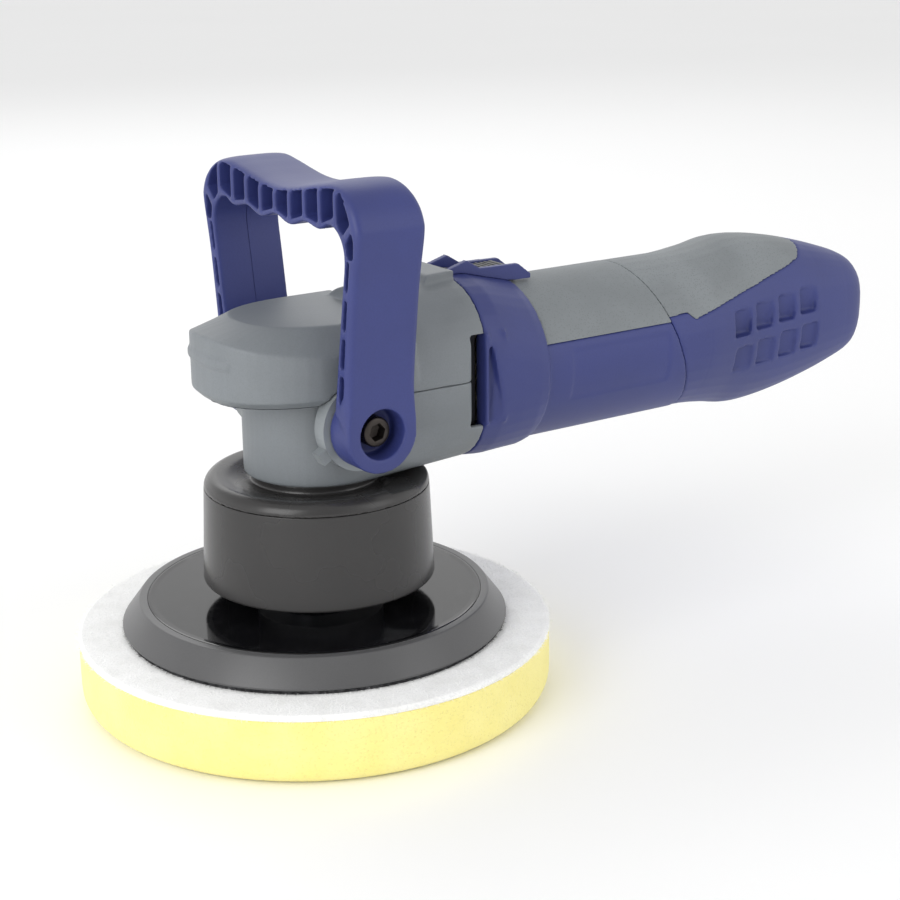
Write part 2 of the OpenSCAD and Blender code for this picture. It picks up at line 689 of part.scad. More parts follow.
module shroud_cap() color("dimgray") difference() {
    cap_r = (shroud_d - shroud_taper)/2;
    rotate_extrude() polygon(concat(
        [[collar_r + 2.5, cap_plate_z], [cap_r - shroud_wall - 0.1, cap_plate_z],
         [cap_r - shroud_wall - 0.1, seam_z - 2], [cap_r - shroud_wall - 1.6, seam_z - 2],
         [cap_r - shroud_wall - 1.6, seam_z - 2.2], [cap_r - shroud_wall - 0.1, seam_z - 2.2],
         [cap_r - shroud_wall - 0.1, seam_z + 0.1], [cap_r, seam_z + 0.1]],
        arc(cap_r - 5, seam_z + 0.1, 5, 0, 80, 6),
        [[cap_r - 9, seam_z + 4.3], [case_r + 2.4, seam_z + cap_h - 2.6],
         [case_r - 0.1, seam_z + cap_h - 2.6], [case_r - 0.1, head_z - 0.1],
         [collar_r + 2.5, head_z - 0.1]]));
    for (a = [45:90:315]) rotate(a)
        translate([cap_screw_r, 0, 0]) cylinder(r = cap_screw_d/2 + fit, h = 200);
    // relief under the neck of the head
    difference() {
        translate([-head_r, 0, head_z - 0.35]) rotate([0, atan(neck_drop/(flange_x - 4 + head_r)), 0])
            translate([0, -50, 0]) cube([90, 100, 20]);
        cylinder(r = case_r - 0.1, h = head_z + 20);
        block([-60, -60, 0], [8, 60, 200]);
    }
}

module shroud_screws() color("gray") for (a = [45:90:315]) rotate(a)
    translate([cap_screw_r, 0, cap_plate_z - 1.6]) difference() {
        union() {
            cylinder(r = cap_screw_d/2, h = head_z + 7 - cap_plate_z);
            cylinder(r = 2.7, h = 1.55);
        }
        translate([0, 0, -0.2]) cylinder(r = 1.3, h = 1.2, $fn = 6);
    }

module case_screws() color("gray") for (p = case_screw_pos) {
    cyl_x(2, flange_x - 4.9, flange_x + 8, p[0], axis_z + p[1]);
    cyl_x(2.6, flange_x - 7.2, flange_x - 5.05, p[0], axis_z + p[1]);
}

// ---- bail handle ----
pivot_thread_r = 3;
corner_z = saddle_z + crest_rise - 16;
function bail_outer() = smooth(concat(
    [for (z = [pivot_z - 16, pivot_z, pivot_z + 18, pivot_z + 38, pivot_z + 54]) [leg_out(z), z]],
    [[bail_half - 0.4, corner_z - 2], [bail_half - 1, corner_z + 3.6],
     [bail_half - 4.6, corner_z + 9.6], [bail_half - 10.5, corner_z + 13.9]],
    [for (k = [0.66, 0.5, 0.34, 0.17, 0, -0.17]) [k*bail_half, grip_top(k*bail_half)]]), 4);
function bail_inner() = smooth(concat(
    [[-6, grip_under(6)]],
    [for (k = [0:0.5:7]) [k*rib_pitch/2, grip_under(k*rib_pitch/2)]],
    [[leg_in(corner_z - 10) - 5.6, corner_z + 0.6], [leg_in(corner_z - 10) - 1.4, corner_z - 3.4],
     [leg_in(corner_z - 10), corner_z - 10]],
    [for (z = [corner_z - 24, pivot_z + 26, pivot_z + 8, pivot_z - 10]) [leg_in(z), z]]), 2);

// pocket between y0 and y1 in the grip, and between z0 and z1 in a leg
module grip_pocket(y0, y1) {
    slab_x([[y0, grip_under(y0) + skin], [y0, grip_top(y0) - skin],
            [y1, grip_top(y1) - skin], [y1, grip_under(y1) + skin]],
           -bail_d/2 - 1, -bail_d/2 + pocket_depth);
}

module leg_pocket(z0, z1) {
    slab_x([[leg_in(z0) + 1.8, z0], [leg_out(z0) - 1.9, z0],
            [leg_out(z1) - 1.9, z1], [leg_in(z1) + 1.8, z1]],
           -bail_d/2 - 1, -bail_d/2 + pocket_depth);
}

module bail_handle() color("darkslateblue") difference() {
    union() {
        both_sides() slab_x(concat(
            [for (p = bail_outer()) if (p[0] >= 0) p],
            [[-1, grip_top(0)], [-1, grip_under(0)]],
            [for (p = bail_inner()) if (p[0] > 0) p]), -bail_d/2, bail_d/2);
        both_sides() cyl_y(foot_d/2, foot_in, foot_out);
    }
    both_sides() {
        block([-bail_d, foot_in - 20, pivot_z - 40], [bail_d, foot_out + 9, pivot_z - foot_d/2]);
        difference() {
            block([-bail_d, foot_in - 1, pivot_z - 40], [bail_d, foot_out + 9, pivot_z]);
            cyl_y(foot_d/2, foot_in - 5, foot_out + 10);
        }
        block([-bail_d, foot_out, pivot_z - 20], [bail_d, foot_out + 9, pivot_z + 6]);
        cyl_y(pivot_d/2 + fit, foot_in - 2, foot_out + 2);
        cyl_y(recess_r, foot_out - head_recess - bolt_head_h + 0.1, foot_out + 2);
        for (i = [0:3]) grip_pocket(i*rib_pitch + rib_t/2, (i + 1)*rib_pitch - rib_t/2);
        for (i = [0:3]) leg_pocket(pivot_z + 14 + i*13.7, pivot_z + 25.4 + i*13.7);
    }
}

module pivot_bolts() color("dimgray") both_sides() {
    head_y = foot_out - head_recess - bolt_head_h + 0.15;
    difference() {
        union() {
            cyl_y(bolt_head_r, head_y, head_y + bolt_head_h);
            cyl_y(pivot_d/2, foot_in - 0.2, head_y + 1);
            cyl_y(pivot_thread_r, nose_half - 12, foot_in);
        }
        translate([0, head_y + bolt_head_h + 1, pivot_z]) rotate([90, 0, 0])
            cylinder(r = 3, h = 4.2, $fn = 6);
    }
}

// ---- motor housing ----
cuff_form = [[0, 0, 0, 3.6, 2.6], [0.26, 0, -0.2, 2.9, 2.6], [0.58, 0.4, 0.9, 1.6, 2.4],
             [0.85, 0.9, 1.5, 0.5, 2.2], [1, 1.5, 2, 0, 2]];
module cuff_solid(g, over = 0) loft([for (i = [0:len(cuff_form) - 1])
    let (c = cuff_form[i], shift = i == 0 ? -over : i == len(cuff_form) - 1 ? over : 0)
    ring(cuff_x + c[0]*cuff_len + shift, flange_hw - c[1] - g, flange_hh - c[2] - g, axis_z + c[3], c[4])]);

vent_z = [axis_z - 13.5, axis_z + 20.5];
module motor_housing() color("darkslateblue") difference() {
    union() {
        difference() {
            union() {
                cuff_solid(0);
                cyl_x(motor_r, cuff_end - 4, seam_x + 40);
            }
            intersection() {
                cuff_solid(wall, 1);
                block([0, -80, 0], [baffle_x + 4, 80, 300]);
            }
            cyl_x(motor_in, baffle_x - 4, seam_x + 60);
        }
        // spoked web with the rear bearing's seat
        tube_x(rear_brg[1] + 2.6, rear_brg[1] + 1.6, rear_brg_x - 1, rear_brg_x + rear_brg[2] + 1);
        for (a = [0:60:300]) translate([0, 0, axis_z]) rotate([a, 0, 0])
            block([rear_brg_x - 1, rear_brg[1] + 1.8, -2], [rear_brg_x + 3, motor_in + 1, 2]);
        // pads that hold the front screws
        intersection() {
            cuff_solid(0.6);
            for (s = [-1, 1]) for (t = [-1, 1])
                block([cuff_x, s*(flange_hw - 7.5) - 9, head_mid + t*(flange_hh - 7.4) - 9],
                      [cuff_x + 10, s*(flange_hw - 7.5) + 9, head_mid + t*(flange_hh - 7.4) + 9]);
        }
    }
    for (p = case_screw_pos) cyl_x(2.1, cuff_x - 1, cuff_x + 10, p[0], axis_z + p[1]);
    cyl_x(fan_d/2 + 1, fan_x - 1, fan_x + fan_len + 1);
    behind_seam();
    // louvred vents, slot of the switch, recess of the grip panel
    both_sides() translate([0, 0, vent_z[0]]) linear_extrude(vent_z[1] - vent_z[0])
        polygon([[cuff_x - 1, flange_hw + 2], [cuff_x + 9, flange_hw + 2], [cuff_x + 9, flange_hw - 0.4],
                 [cuff_x + 1, flange_hw - 4.4], [cuff_x - 1, flange_hw - 4.4]]);
    block([stem_x - switch_travel - 0.5, -2.3, axis_z + 20], [stem_x + stem_len + 0.5, 2.3, axis_z + 60]);
    block([button_x - switch_travel - 1.2, -5.35, cowl_z], [cuff_end + 12, 5.35, 300]);
    difference() {
        tube_x(motor_r + 3, motor_r - skin_t - 0.05, cuff_end, seam_x + 40);
        block([0, -80, 0], [400, 80, grip_line - 0.05]);
    }
    // shallow panels on both sides
    difference() {
        tube_x(motor_r + 1, motor_r - 0.4, cuff_end + 12, seam_x - 6);
        block([0, -80, 0], [400, 80, axis_z - 12]);
        block([0, -80, axis_z + 8], [400, 80, 300]);
    }
}

module motor_grip() color("gray") difference() {
    tube_x(motor_r, motor_r - skin_t, cuff_end + 0.1, seam_x + 40);
    block([0, -80, 0], [400, 80, grip_line]);
    behind_seam(-0.05);
}

module switch_cowl() color("darkslateblue") difference() {
    union() {
        both_sides() slab_y([[rail_x, axis_z + 34], [rail_x, axis_z + 39.8],
                [rail_x + 11, axis_z + 43], [rail_x + 17, axis_z + 39.4],
                [rail_x + 35, axis_z + 39], [rail_x + 41, axis_z + 34.4],
                [rail_x + 41, axis_z + 32.6]], 5.4, 8);
        block([flange_x + 0.6, -5.4, cowl_z - 3], [rail_x + 36, 5.4, cowl_z]);
    }
    cuff_solid(-0.05, 0.2);
    cyl_x(motor_r + 0.05, cuff_end, rail_x + 60);
    block([0, -20, 0], [flange_x + 0.05, 20, 300]);
    block([stem_x - switch_travel - 0.5, -2.3, axis_z + 20], [stem_x + stem_len + 0.5, 2.3, axis_z + 60]);
}

module switch_slider() color("black") difference() {
    union() {
        block([button_x, -4.8, cowl_z + 0.15], [button_x + button_len, 4.8, cowl_z + 2.6]);
        block([stem_x, -1.9, rod_z + 1.92], [stem_x + stem_len, 1.9, cowl_z + 0.2]);
    }
    for (i = [0:4]) block([button_x + 2.5 + 2.2*i, -6, cowl_z + 2], [button_x + 3.5 + 2.2*i, 6, cowl_z + 3]);
}

module switch_rod() color("dimgray") {
    block([stem_x + 0.3, -3, rod_z], [rod_end, 3, rod_z + 1.9]);
    block([rod_end - 4, -1.5, rod_z - 3.2], [rod_end - 1, 1.5, rod_z]);
}

module switch_module() color("black") difference() {
    block([module_x, -9, rod_z - 20], [module_x + 24, 9, rod_z - 0.4]);
    block([rod_end - 4.6 - switch_travel, -2, rod_z - 4], [rod_end - 0.4, 2, rod_z + 1]);
}

// ---- motor ----
module bearing_boot() color("black")
    tube_x(rear_brg[1] + 1.6, rear_brg[1], rear_brg_x - 0.5, rear_brg_x + rear_brg[2] + 0.5);

blade_count = 11;
module cooling_fan() color("ivory") {
    tube_x(9, front_brg[0], fan_x, fan_x + fan_len);
    tube_x(fan_d/2, front_brg[0], fan_x + fan_len - 1.6, fan_x + fan_len);
    for (i = [0:blade_count - 1]) translate([0, 0, axis_z]) rotate([360*i/blade_count, 0, 0])
        block([fan_x + 0.4, 8.6, -0.7], [fan_x + fan_len - 1, fan_d/2 - 0.6, 0.7]);
}

module fan_baffle() color("black") difference() {
    tube_x(motor_in, 19, baffle_x, baffle_x + 2);
    block([baffle_x - 1, -3.5, axis_z + 24], [baffle_x + 3, 3.5, axis_z + 40]);
}

slots = 12;
module armature_core() color("silver") difference() {
    tube_x(armature_d/2, front_brg[0], core_x + 1, core_end - 1);
    for (i = [0:slots - 1]) translate([0, 0, axis_z]) rotate([360*i/slots, 0, 0])
        block([core_x, -0.8, armature_d/2 - 2.2], [core_end, 0.8, armature_d/2 + 1]);
}

module armature_coils() color("peru") {
    tube_x(armature_d/2 - 1.6, front_brg[0], core_x - 4, core_x + 1);
    tube_x(armature_d/2 - 1.6, front_brg[0], core_end - 1, comm_x - 1);
}

comm_r = 11;
bars = 24;
module commutator() color("peru") difference() {
    union() {
        tube_x(comm_r, front_brg[0], comm_x + 2, comm_x + comm_len);
        tube_x(comm_r + 2, front_brg[0], comm_x - 0.5, comm_x + 2);
    }
    for (i = [0:bars - 1]) translate([0, 0, axis_z]) rotate([360*i/bars, 0, 0])
        block([comm_x - 1, -0.25, comm_r - 0.8], [comm_x + comm_len + 1, 0.25, comm_r + 3]);
}

pole_r = armature_d/2 + 0.7;
module field_core() color("darkgray") difference() {
    cyl_x(motor_in - seat, core_x, core_end);
    cyl_x(pole_r, core_x - 1, core_end + 1);
    for (s = [-1, 1]) {
        // room for the coils beside each pole
        block([core_x - 1, min(s*13, s*22), axis_z - 13], [core_end + 1, max(s*13, s*22), axis_z + 13]);
        block([core_x - 1, -9, min(s*30, s*(motor_in - 3.4)) + axis_z],
              [core_end + 1, 9, max(s*30, s*(motor_in - 3.4)) + axis_z]);
    }
}

module field_coils() color("peru") difference() {
    union() {
        tube_x(24, pole_r + 0.6, core_x - 3.6, core_x - 0.1);
        tube_x(24, pole_r + 0.6, core_end + 0.1, core_end + 3.6);
        for (s = [-1, 1]) block([core_x - 3.6, min(s*17.4, s*21.8), axis_z - 12.6],
                                [core_end + 3.6, max(s*17.4, s*21.8), axis_z + 12.6]);
    }
    block([core_x - 5, -3.5, axis_z + 10], [core_end + 5, 3.5, axis_z + 40]);
}

module brush_holders() color("goldenrod") both_sides() difference() {
    block([brush_x - 4.4, comm_r + 2, axis_z - 5.4], [brush_x + 4.4, motor_in - 0.6, axis_z + 5.4]);
    block([brush_x - 3.1, comm_r, axis_z - 4.1], [brush_x + 3.1, motor_in - 2.2, axis_z + 4.1]);
}

brush_len = 10;
module carbon_brushes() color("dimgray") both_sides()
    block([brush_x - 3, comm_r + 0.4, axis_z - 4], [brush_x + 3, comm_r + 0.4 + brush_len, axis_z + 4]);

spring_y = comm_r + 0.4 + brush_len;
module brush_springs() color("silver") both_sides() {
    room = motor_in - 2.5 - spring_y;
    for (i = [0:3]) translate([brush_x, spring_y + 0.15 + (i + 0.5)*room/4, axis_z])
        rotate([90, 0, 0]) rotate_extrude() translate([2, 0]) circle(r = room/8 + 0.04, $fn = 16);
}

// ---- rear handle ----
function grip_ring(i, g, over) = let (f = grip_form[i], last = len(grip_form) - 1)
    ring(grip_start + f[0]*grip_len + (i == last ? over : 0),
         f[1]*grip_k - g, f[2]*grip_k - g, axis_z + 0.3, f[3], 36);
module grip_solid(g, over = 0) loft([for (i = [0:len(grip_form) - 1]) grip_ring(i, g, over)]);

// area covered by the rear grip panel, seen from the side
panel_tip = seam_x + 5;
function panel_points(lift) = [
    [grip_start - 20, grip_line + lift], [panel_tip, grip_line + 2.4 + lift],
    [panel_tip + 3.4, grip_line - 0.6 + lift], [rear_x - 41, grip_line + 14.4 + lift],
    [rear_x - 31 - lift, grip_line + 21], [rear_x - 30 - lift, axis_z + 60],
    [grip_start - 20, axis_z + 60]];

pocket_x = rear_x - 81;
module side_pockets() {
    for (i = [0:3]) for (j = [0, 1])
        translate([pocket_x + 13.6*i + 1.5*j, -28.6 + 1.15*i, axis_z + 5.2 + 1.2*i - 15.5*j])
            rotate([8, 0, -4]) translate([-5, -8, -5.4]) cube([10, 10, 10.8]);
}

shell_screw_pos = [[seam_x + 24, -22], [rear_x - 66, 13], [rear_x - 32, -15]];
module handle_shell(side) difference() {
    union() {
        difference() {
            grip_solid(0);
            grip_solid(grip_wall, -grip_wall);
            cyl_x(motor_in, grip_start - 30, seam_x + 14);
        }
        intersection() {
            grip_solid(0.5);
            union() {
                block([module_x + 10, -60, 0], [module_x + 12.5, 60, rod_z - 20]);
                for (x = [board_x + 3, board_x + 34]) block([x, -60, 0], [x + 2.5, 60, board_z]);
                block([clamp_x - 1, -8, 0], [clamp_x + 7, 8, inlet_z - 4.2]);
                for (p = shell_screw_pos) cyl_y(4, -60, 60, p[0], axis_z + p[1]);
                both_sides() block([pocket_x - 8, 18.6, axis_z - 20], [pocket_x + 50, 60, axis_z + 17]);
            }
        }
    }
    difference() {
        block([0, -100, 0], [400, 100, 400]);
        behind_seam(0.05);
    }
    mirror([0, side > 0 ? 1 : 0, 0]) block([0, 0, 0], [400, 100, 400]);
    difference() {
        slab_y(panel_points(-0.05), -60, 60);
        grip_solid(skin_t + 0.05);
    }
    both_sides() side_pockets();
    for (p = shell_screw_pos) {
        cyl_y(1.6, -12.6, 60, p[0], axis_z + p[1]);
        cyl_y(3.2, 12, 60, p[0], axis_z + p[1]);
    }
    cyl_x(inlet_r + 1.8, rear_x - 12, rear_x + 5, 0, inlet_z);
    cyl_x(inlet_r + 3.8, rear_x - 8, rear_x - 4.4, 0, inlet_z);
    cyl_y(dial_r + 0.8, -3.6, 3.6, dial_x, dial_z);
    cyl_y(dial_pin_r + fit, -7, 7, dial_x, dial_z);
    slot_for_rod();
}

module slot_for_rod() block([grip_start - 10, -3.6, rod_z - 0.6], [rod_end + 1, 3.6, rod_z + 2.6]);

module handle_shell_left() color("darkslateblue") handle_shell(1);
module handle_shell_right() color("darkslateblue") handle_shell(-1);

module rear_grip() color("gray") difference() {
    intersection() {
        grip_solid(0);
        slab_y(panel_points(0), -60, 60);
    }
    grip_solid(skin_t);
    difference() {
        block([0, -100, 0], [400, 100, 400]);
        behind_seam(0.1);
    }
}

module handle_screws() color("gray") for (p = shell_screw_pos) difference() {
    union() {
        cyl_y(1.5, -12, 12.05, p[0], axis_z + p[1]);
        cyl_y(3, 12.05, 14.2, p[0], axis_z + p[1]);
    }
    cyl_y(1.2, 13, 15, p[0], axis_z + p[1]);
}

module control_board() color("seagreen") {
    block([board_x, -14, board_z], [board_x + 40, 14, board_z + 1.6]);
    block([board_x + 4, -11, board_z + 1.5], [board_x + 14, -1, board_z + 14]);
    cyl_x(5, board_x + 17, board_x + 33, -7, board_z + 6.4);
    block([board_x + 18, 3, board_z + 1.5], [board_x + 30, 11, board_z + 9]);
}

dial_pin_r = 1.5;
module speed_dial() color("black") difference() {
    union() {
        cyl_y(dial_r, -2.5, 2.5, dial_x, dial_z);
        cyl_y(dial_pin_r, -6.5, 6.5, dial_x, dial_z);
    }
    for (i = [0:23]) translate([dial_x, 0, dial_z]) rotate([0, 15*i, 0])
        translate([dial_r, -5, -0.35]) cube([1, 10, 0.7], center = false);
}

inlet_r = inlet_d/2;
module cord_gland() color("black") difference() {
    union() {
        cyl_x(inlet_r + 1.8 - seat, rear_x - 11, rear_x - 0.5, 0, inlet_z);
        cyl_x(inlet_r + 3.6, rear_x - 7.8, rear_x - 4.6, 0, inlet_z);
    }
    cyl_x(inlet_r, rear_x - 20, rear_x + 5, 0, inlet_z);
}

module cord_clamp() color("black") difference() {
    block([clamp_x, -8, inlet_z - 4.1], [clamp_x + 6, 8, inlet_z + 6]);
    cyl_x(inlet_r - 0.6, clamp_x - 1, clamp_x + 8, 0, inlet_z);
}

pad_foam();
pad_loop();
hook_disc();
plate_rim();
plate_disc();
plate_hub();
plate_bolt();
pad_spindle();
spindle_nut();
pad_bearing_outers();
pad_bearing_inners();
pad_bearing_balls();
bearing_circlip();
counterweight();
drive_spindle();
ring_gear();
spindle_bearing_outers();
spindle_bearing_inners();
spindle_bearing_balls();
spindle_seal();
gear_case();
head_cover();
head_skirt();
shroud();
shroud_cap();
shroud_screws();
case_screws();
bail_handle();
pivot_bolts();
motor_housing();
motor_grip();
switch_cowl();
switch_slider();
switch_rod();
switch_module();
armature_shaft();
pinion();
motor_bearing_outers();
motor_bearing_inners();
motor_bearing_balls();
bearing_boot();
cooling_fan();
fan_baffle();
armature_core();
armature_coils();
commutator();
field_core();
field_coils();
brush_holders();
carbon_brushes();
brush_springs();
handle_shell_left();
handle_shell_right();
rear_grip();
handle_screws();
control_board();
speed_dial();
cord_gland();
cord_clamp();
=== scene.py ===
import json
import math
import random
import bpy
import bmesh
from mathutils import Matrix, Vector, noise


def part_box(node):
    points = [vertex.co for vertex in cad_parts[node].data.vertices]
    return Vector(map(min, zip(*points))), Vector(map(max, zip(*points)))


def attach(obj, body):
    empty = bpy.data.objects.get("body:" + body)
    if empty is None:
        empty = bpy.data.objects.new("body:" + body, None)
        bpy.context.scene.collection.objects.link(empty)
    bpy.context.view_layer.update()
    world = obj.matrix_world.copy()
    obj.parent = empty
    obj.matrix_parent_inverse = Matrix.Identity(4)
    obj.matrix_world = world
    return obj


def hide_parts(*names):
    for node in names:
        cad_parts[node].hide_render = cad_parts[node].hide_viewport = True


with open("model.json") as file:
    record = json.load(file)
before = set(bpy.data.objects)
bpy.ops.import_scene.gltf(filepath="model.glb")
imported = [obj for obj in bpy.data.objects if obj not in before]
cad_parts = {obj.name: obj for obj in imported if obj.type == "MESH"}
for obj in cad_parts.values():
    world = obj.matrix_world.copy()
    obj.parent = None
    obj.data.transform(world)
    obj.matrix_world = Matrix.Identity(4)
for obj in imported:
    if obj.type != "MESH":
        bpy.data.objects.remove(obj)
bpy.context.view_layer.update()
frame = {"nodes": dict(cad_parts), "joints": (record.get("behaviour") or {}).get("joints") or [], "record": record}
scene = bpy.context.scene
nodes = frame["nodes"]
record = frame["record"]
mm = 0.001


# places taken from the frame, in millimetres
def low(node):
    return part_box(node)[0] * 1000


def high(node):
    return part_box(node)[1] * 1000


def jointPlace(name):
    found = next(j for j in frame["joints"] if j["name"] == name)
    return Vector(found["pos_m"]) * 1000


axisZ = jointPlace("armature_spin").z      # the motor's axis
pivotZ = jointPlace("bail_tilt").z         # the bail handle's pivot
orbitY = jointPlace("pad_spin").y          # the pad's own axis
cuffX = low("motor_housing").x
headHalf = high("motor_housing").y         # half width where head and cuff meet
headTall = headHalf + 0.5


def shade(red, green, blue):
    # display colour, 0 to 255, as scene values
    return tuple(((v / 255 + 0.055) / 1.055) ** 2.4 if v > 10 else v / 255 / 12.92
                 for v in (red, green, blue)) + (1.0,)


# finishes
class Wire:
    def __init__(self, finish, socket):
        self.finish = finish
        self.socket = socket

    def maths(self, operation, first, second):
        return self.finish.node("ShaderNodeMath", dict(operation=operation), {0: first, 1: second})

    def __add__(self, other):
        return self.maths("ADD", self, other)

    def __sub__(self, other):
        return self.maths("SUBTRACT", self, other)

    def __rsub__(self, other):
        return self.maths("SUBTRACT", other, self)

    def __mul__(self, other):
        return self.maths("MULTIPLY", self, other)

    __radd__ = __add__
    __rmul__ = __mul__

    def within(self, start, end, least=0.0, most=1.0):
        # eased step from least at start to most at end
        return self.finish.node("ShaderNodeMapRange", dict(interpolation_type="SMOOTHSTEP"),
                                {"Value": self, "From Min": start, "From Max": end, "To Min": least, "To Max": most})


class Finish:
    def __init__(self, name, **fixed):
        self.material = bpy.data.materials.new(name)
        self.material.use_nodes = True
        self.tree = self.material.node_tree
        self.shader = self.tree.nodes["Principled BSDF"]
        for key, value in fixed.items():
            socket = "".join(" " + c if c.isupper() else c for c in key).strip().title()
            self.shader.inputs[socket.replace("Ior", "IOR")].default_value = value
        self.place = self.node("ShaderNodeTexCoord", output="Object")

    def feed(self, socket, value):
        if isinstance(value, Wire):
            self.tree.links.new(value.socket, socket)
        else:
            socket.default_value = value

    def node(self, kind, settings=None, inputs=None, output=0):
        made = self.tree.nodes.new(kind)
        for key, value in (settings or {}).items():
            setattr(made, key, value)
        for key, value in (inputs or {}).items():
            self.feed(made.inputs[key], value)
        return Wire(self, made.outputs[output])

    def stretched(self, shape):
        return self.node("ShaderNodeVectorMath", dict(operation="MULTIPLY"), {0: self.place, 1: shape})

    def grain(self, size, detail=2.0, shape=None, rough=0.5):
        # soft noise from 0 to 1, its size in millimetres
        point = self.stretched(shape) if shape else self.place
        return self.node("ShaderNodeTexNoise", None, {"Vector": point, "Scale": 1000 / size, "Detail": detail,
                                                      "Roughness": rough})

    def cells(self, size):
        # distance from the nearest of many scattered points
        return self.node("ShaderNodeTexVoronoi", dict(feature="F1"), {"Vector": self.place, "Scale": 1000 / size},
                         "Distance")

    def stripes(self, pitch, axis="X", warp=0.0):
        return self.node("ShaderNodeTexWave", dict(wave_type="BANDS", bands_direction=axis),
                         {"Vector": self.place, "Scale": 1000 / pitch / 20, "Distortion": warp, "Detail": 1.0}, "Fac")

    def part(self, axis):
        return self.node("ShaderNodeSeparateXYZ", None, {0: self.place}, axis)

    def edges(self):
        # 0 in hollows, 0.5 on flats, 1 on worn edges
        return self.node("ShaderNodeNewGeometry", output="Pointiness")

    def mix(self, first, second, share):
        return self.node("ShaderNodeMix", dict(data_type="RGBA", blend_type="MIX", clamp_factor=True),
                         {0: share, 6: first, 7: second}, 2)

    def bump(self, height, depth):
        return self.node("ShaderNodeBump", None, {"Height": height, "Distance": depth * mm, "Strength": 1.0}, "Normal")

    def done(self, colour, rough, normal=None, metal=None):
        self.feed(self.shader.inputs["Base Color"], colour)
        self.feed(self.shader.inputs["Roughness"], rough)
        if normal:
            self.feed(self.shader.inputs["Normal"], normal)
        if metal is not None:
            self.feed(self.shader.inputs["Metallic"], metal)
        return self.material


def tint(colour, amount):
    return tuple(min(1.0, c * amount) for c in colour[:3]) + (1.0,)


def mouldedPlastic(name, colour, rough, spark=0.62, depth=0.03, wear=0.25, patch=0.07):
    # fine spark-eroded mould texture, faint flow patches, rubbed edges and painted shade in hollows
    f = Finish(name, specularIorLevel=0.45)
    fine = f.grain(spark, 2.0)
    pits = f.cells(spark * 1.9)
    cloud = f.grain(38, 3.0)
    streak = f.grain(11, 2.0, (0.35, 1, 1))
    base = f.mix(tint(colour, 1 - patch), tint(colour, 1 + patch), cloud.within(0.3, 0.7))
    base = f.mix(base, tint(colour, 0.86), (1 - fine.within(0.3, 0.6)) * 0.35)
    rubbed = f.edges().within(0.515, 0.6) * streak.within(0.35, 0.65) * wear
    base = f.mix(base, tint(colour, 1.75), rubbed)
    # painted shade: concave hollows and creases darkened
    hollowShade = f.edges().within(0.47, 0.4) * 0.3
    base = f.mix(base, tint(colour, 0.55), hollowShade)
    roughness = rough + (cloud - 0.5) * 0.1 - rubbed * 0.25
    return f.done(base, roughness, f.bump(fine * 0.7 + pits * 0.5, depth))


def softGrip(name, colour):
    # overmoulded rubber skin, matt, with an even fine pebble
    f = Finish(name, specularIorLevel=0.35)
    pebble = f.cells(0.95)
    fine = f.grain(0.4, 2.0)
    cloud = f.grain(30, 3.0)
    base = f.mix(tint(colour, 0.92), tint(colour, 1.08), cloud.within(0.3, 0.7))
    base = f.mix(tint(colour, 0.78), base, pebble.within(0.05, 0.4))
    rubbed = f.edges().within(0.52, 0.62) * 0.25
    base = f.mix(base, tint(colour, 1.5), rubbed)
    return f.done(base, 0.6 + (cloud - 0.5) * 0.12, f.bump(pebble.within(0.0, 0.45) * 0.8 + fine * 0.4, 0.05))


def openFoam(name):
    # open-cell foam: small pores of two sizes with painted shade in them, and paler crushed patches
    f = Finish(name, specularIorLevel=0.2, sheenWeight=0.25, sheenRoughness=0.6)
    cell = f.cells(1.05)
    small = f.cells(0.5)
    cloud = f.grain(16, 3.0)
    body = shade(252, 238, 150)
    base = f.mix(shade(250, 238, 146), shade(254, 243, 160), cloud.within(0.2, 0.8))
    # painted shade: the foam's pits darkened
    poreShade = (1 - cell.within(0.0, 0.42)) * 0.55 + (1 - small.within(0.0, 0.4)) * 0.3
    base = f.mix(base, tint(body, 0.66), poreShade * 0.3)
    return f.done(base, 0.92, f.bump(cell.within(0, 0.5) + small * 0.5, 0.16))


def brushedPile(name):
    f = Finish(name, specularIorLevel=0.15, sheenWeight=0.35, sheenRoughness=0.5)
    curl = f.grain(0.9, 4.0, rough=0.7)
    cloud = f.grain(9, 3.0)
    base = f.mix(shade(244, 244, 242), shade(254, 254, 253), cloud.within(0.2, 0.7))
    base = f.mix(base, shade(222, 223, 224), (1 - curl.within(0.36, 0.52)) * 0.4)
    return f.done(base, 0.95, f.bump(curl, 0.22))


def hookCloth(name):
    f = Finish(name, specularIorLevel=0.3)
    weave = f.cells(0.7)
    fuzz = f.grain(1.6, 3.0)
    base = f.mix(shade(40, 40, 42), shade(78, 78, 80), fuzz.within(0.35, 0.7))
    return f.done(base, 0.85, f.bump(weave, 0.25))


def polishedDisc(name):
    # black gloss with a film of dust and fine circular rub marks
    f = Finish(name, specularIorLevel=0.55, coatRoughness=0.04)
    dust = f.grain(7, 5.0, rough=0.65)
    swirl = f.grain(0.8, 2.0, (1, 1, 30))
    film = dust.within(0.45, 0.8) * 0.3
    base = f.mix(shade(17, 17, 19), shade(60, 60, 62), film * 0.5)
    return f.done(base, 0.07 + film * 0.22 + swirl.within(0.5, 0.8) * 0.05, f.bump(f.grain(26, 1.0), 0.03))


def turnedSteel(name, colour, rough, metal=1.0):
    f = Finish(name)
    line = f.grain(0.25, 2.0, (1, 1, 5))
    cloud = f.grain(7, 3.0)
    base = f.mix(tint(colour, 0.78), tint(colour, 1.1), line.within(0.3, 0.7))
    base = f.mix(base, tint(colour, 0.5), cloud.within(0.58, 0.8) * 0.3)
    return f.done(base, rough + (line - 0.5) * 0.16 + cloud.within(0.5, 0.8) * 0.1, f.bump(line, 0.015), metal)


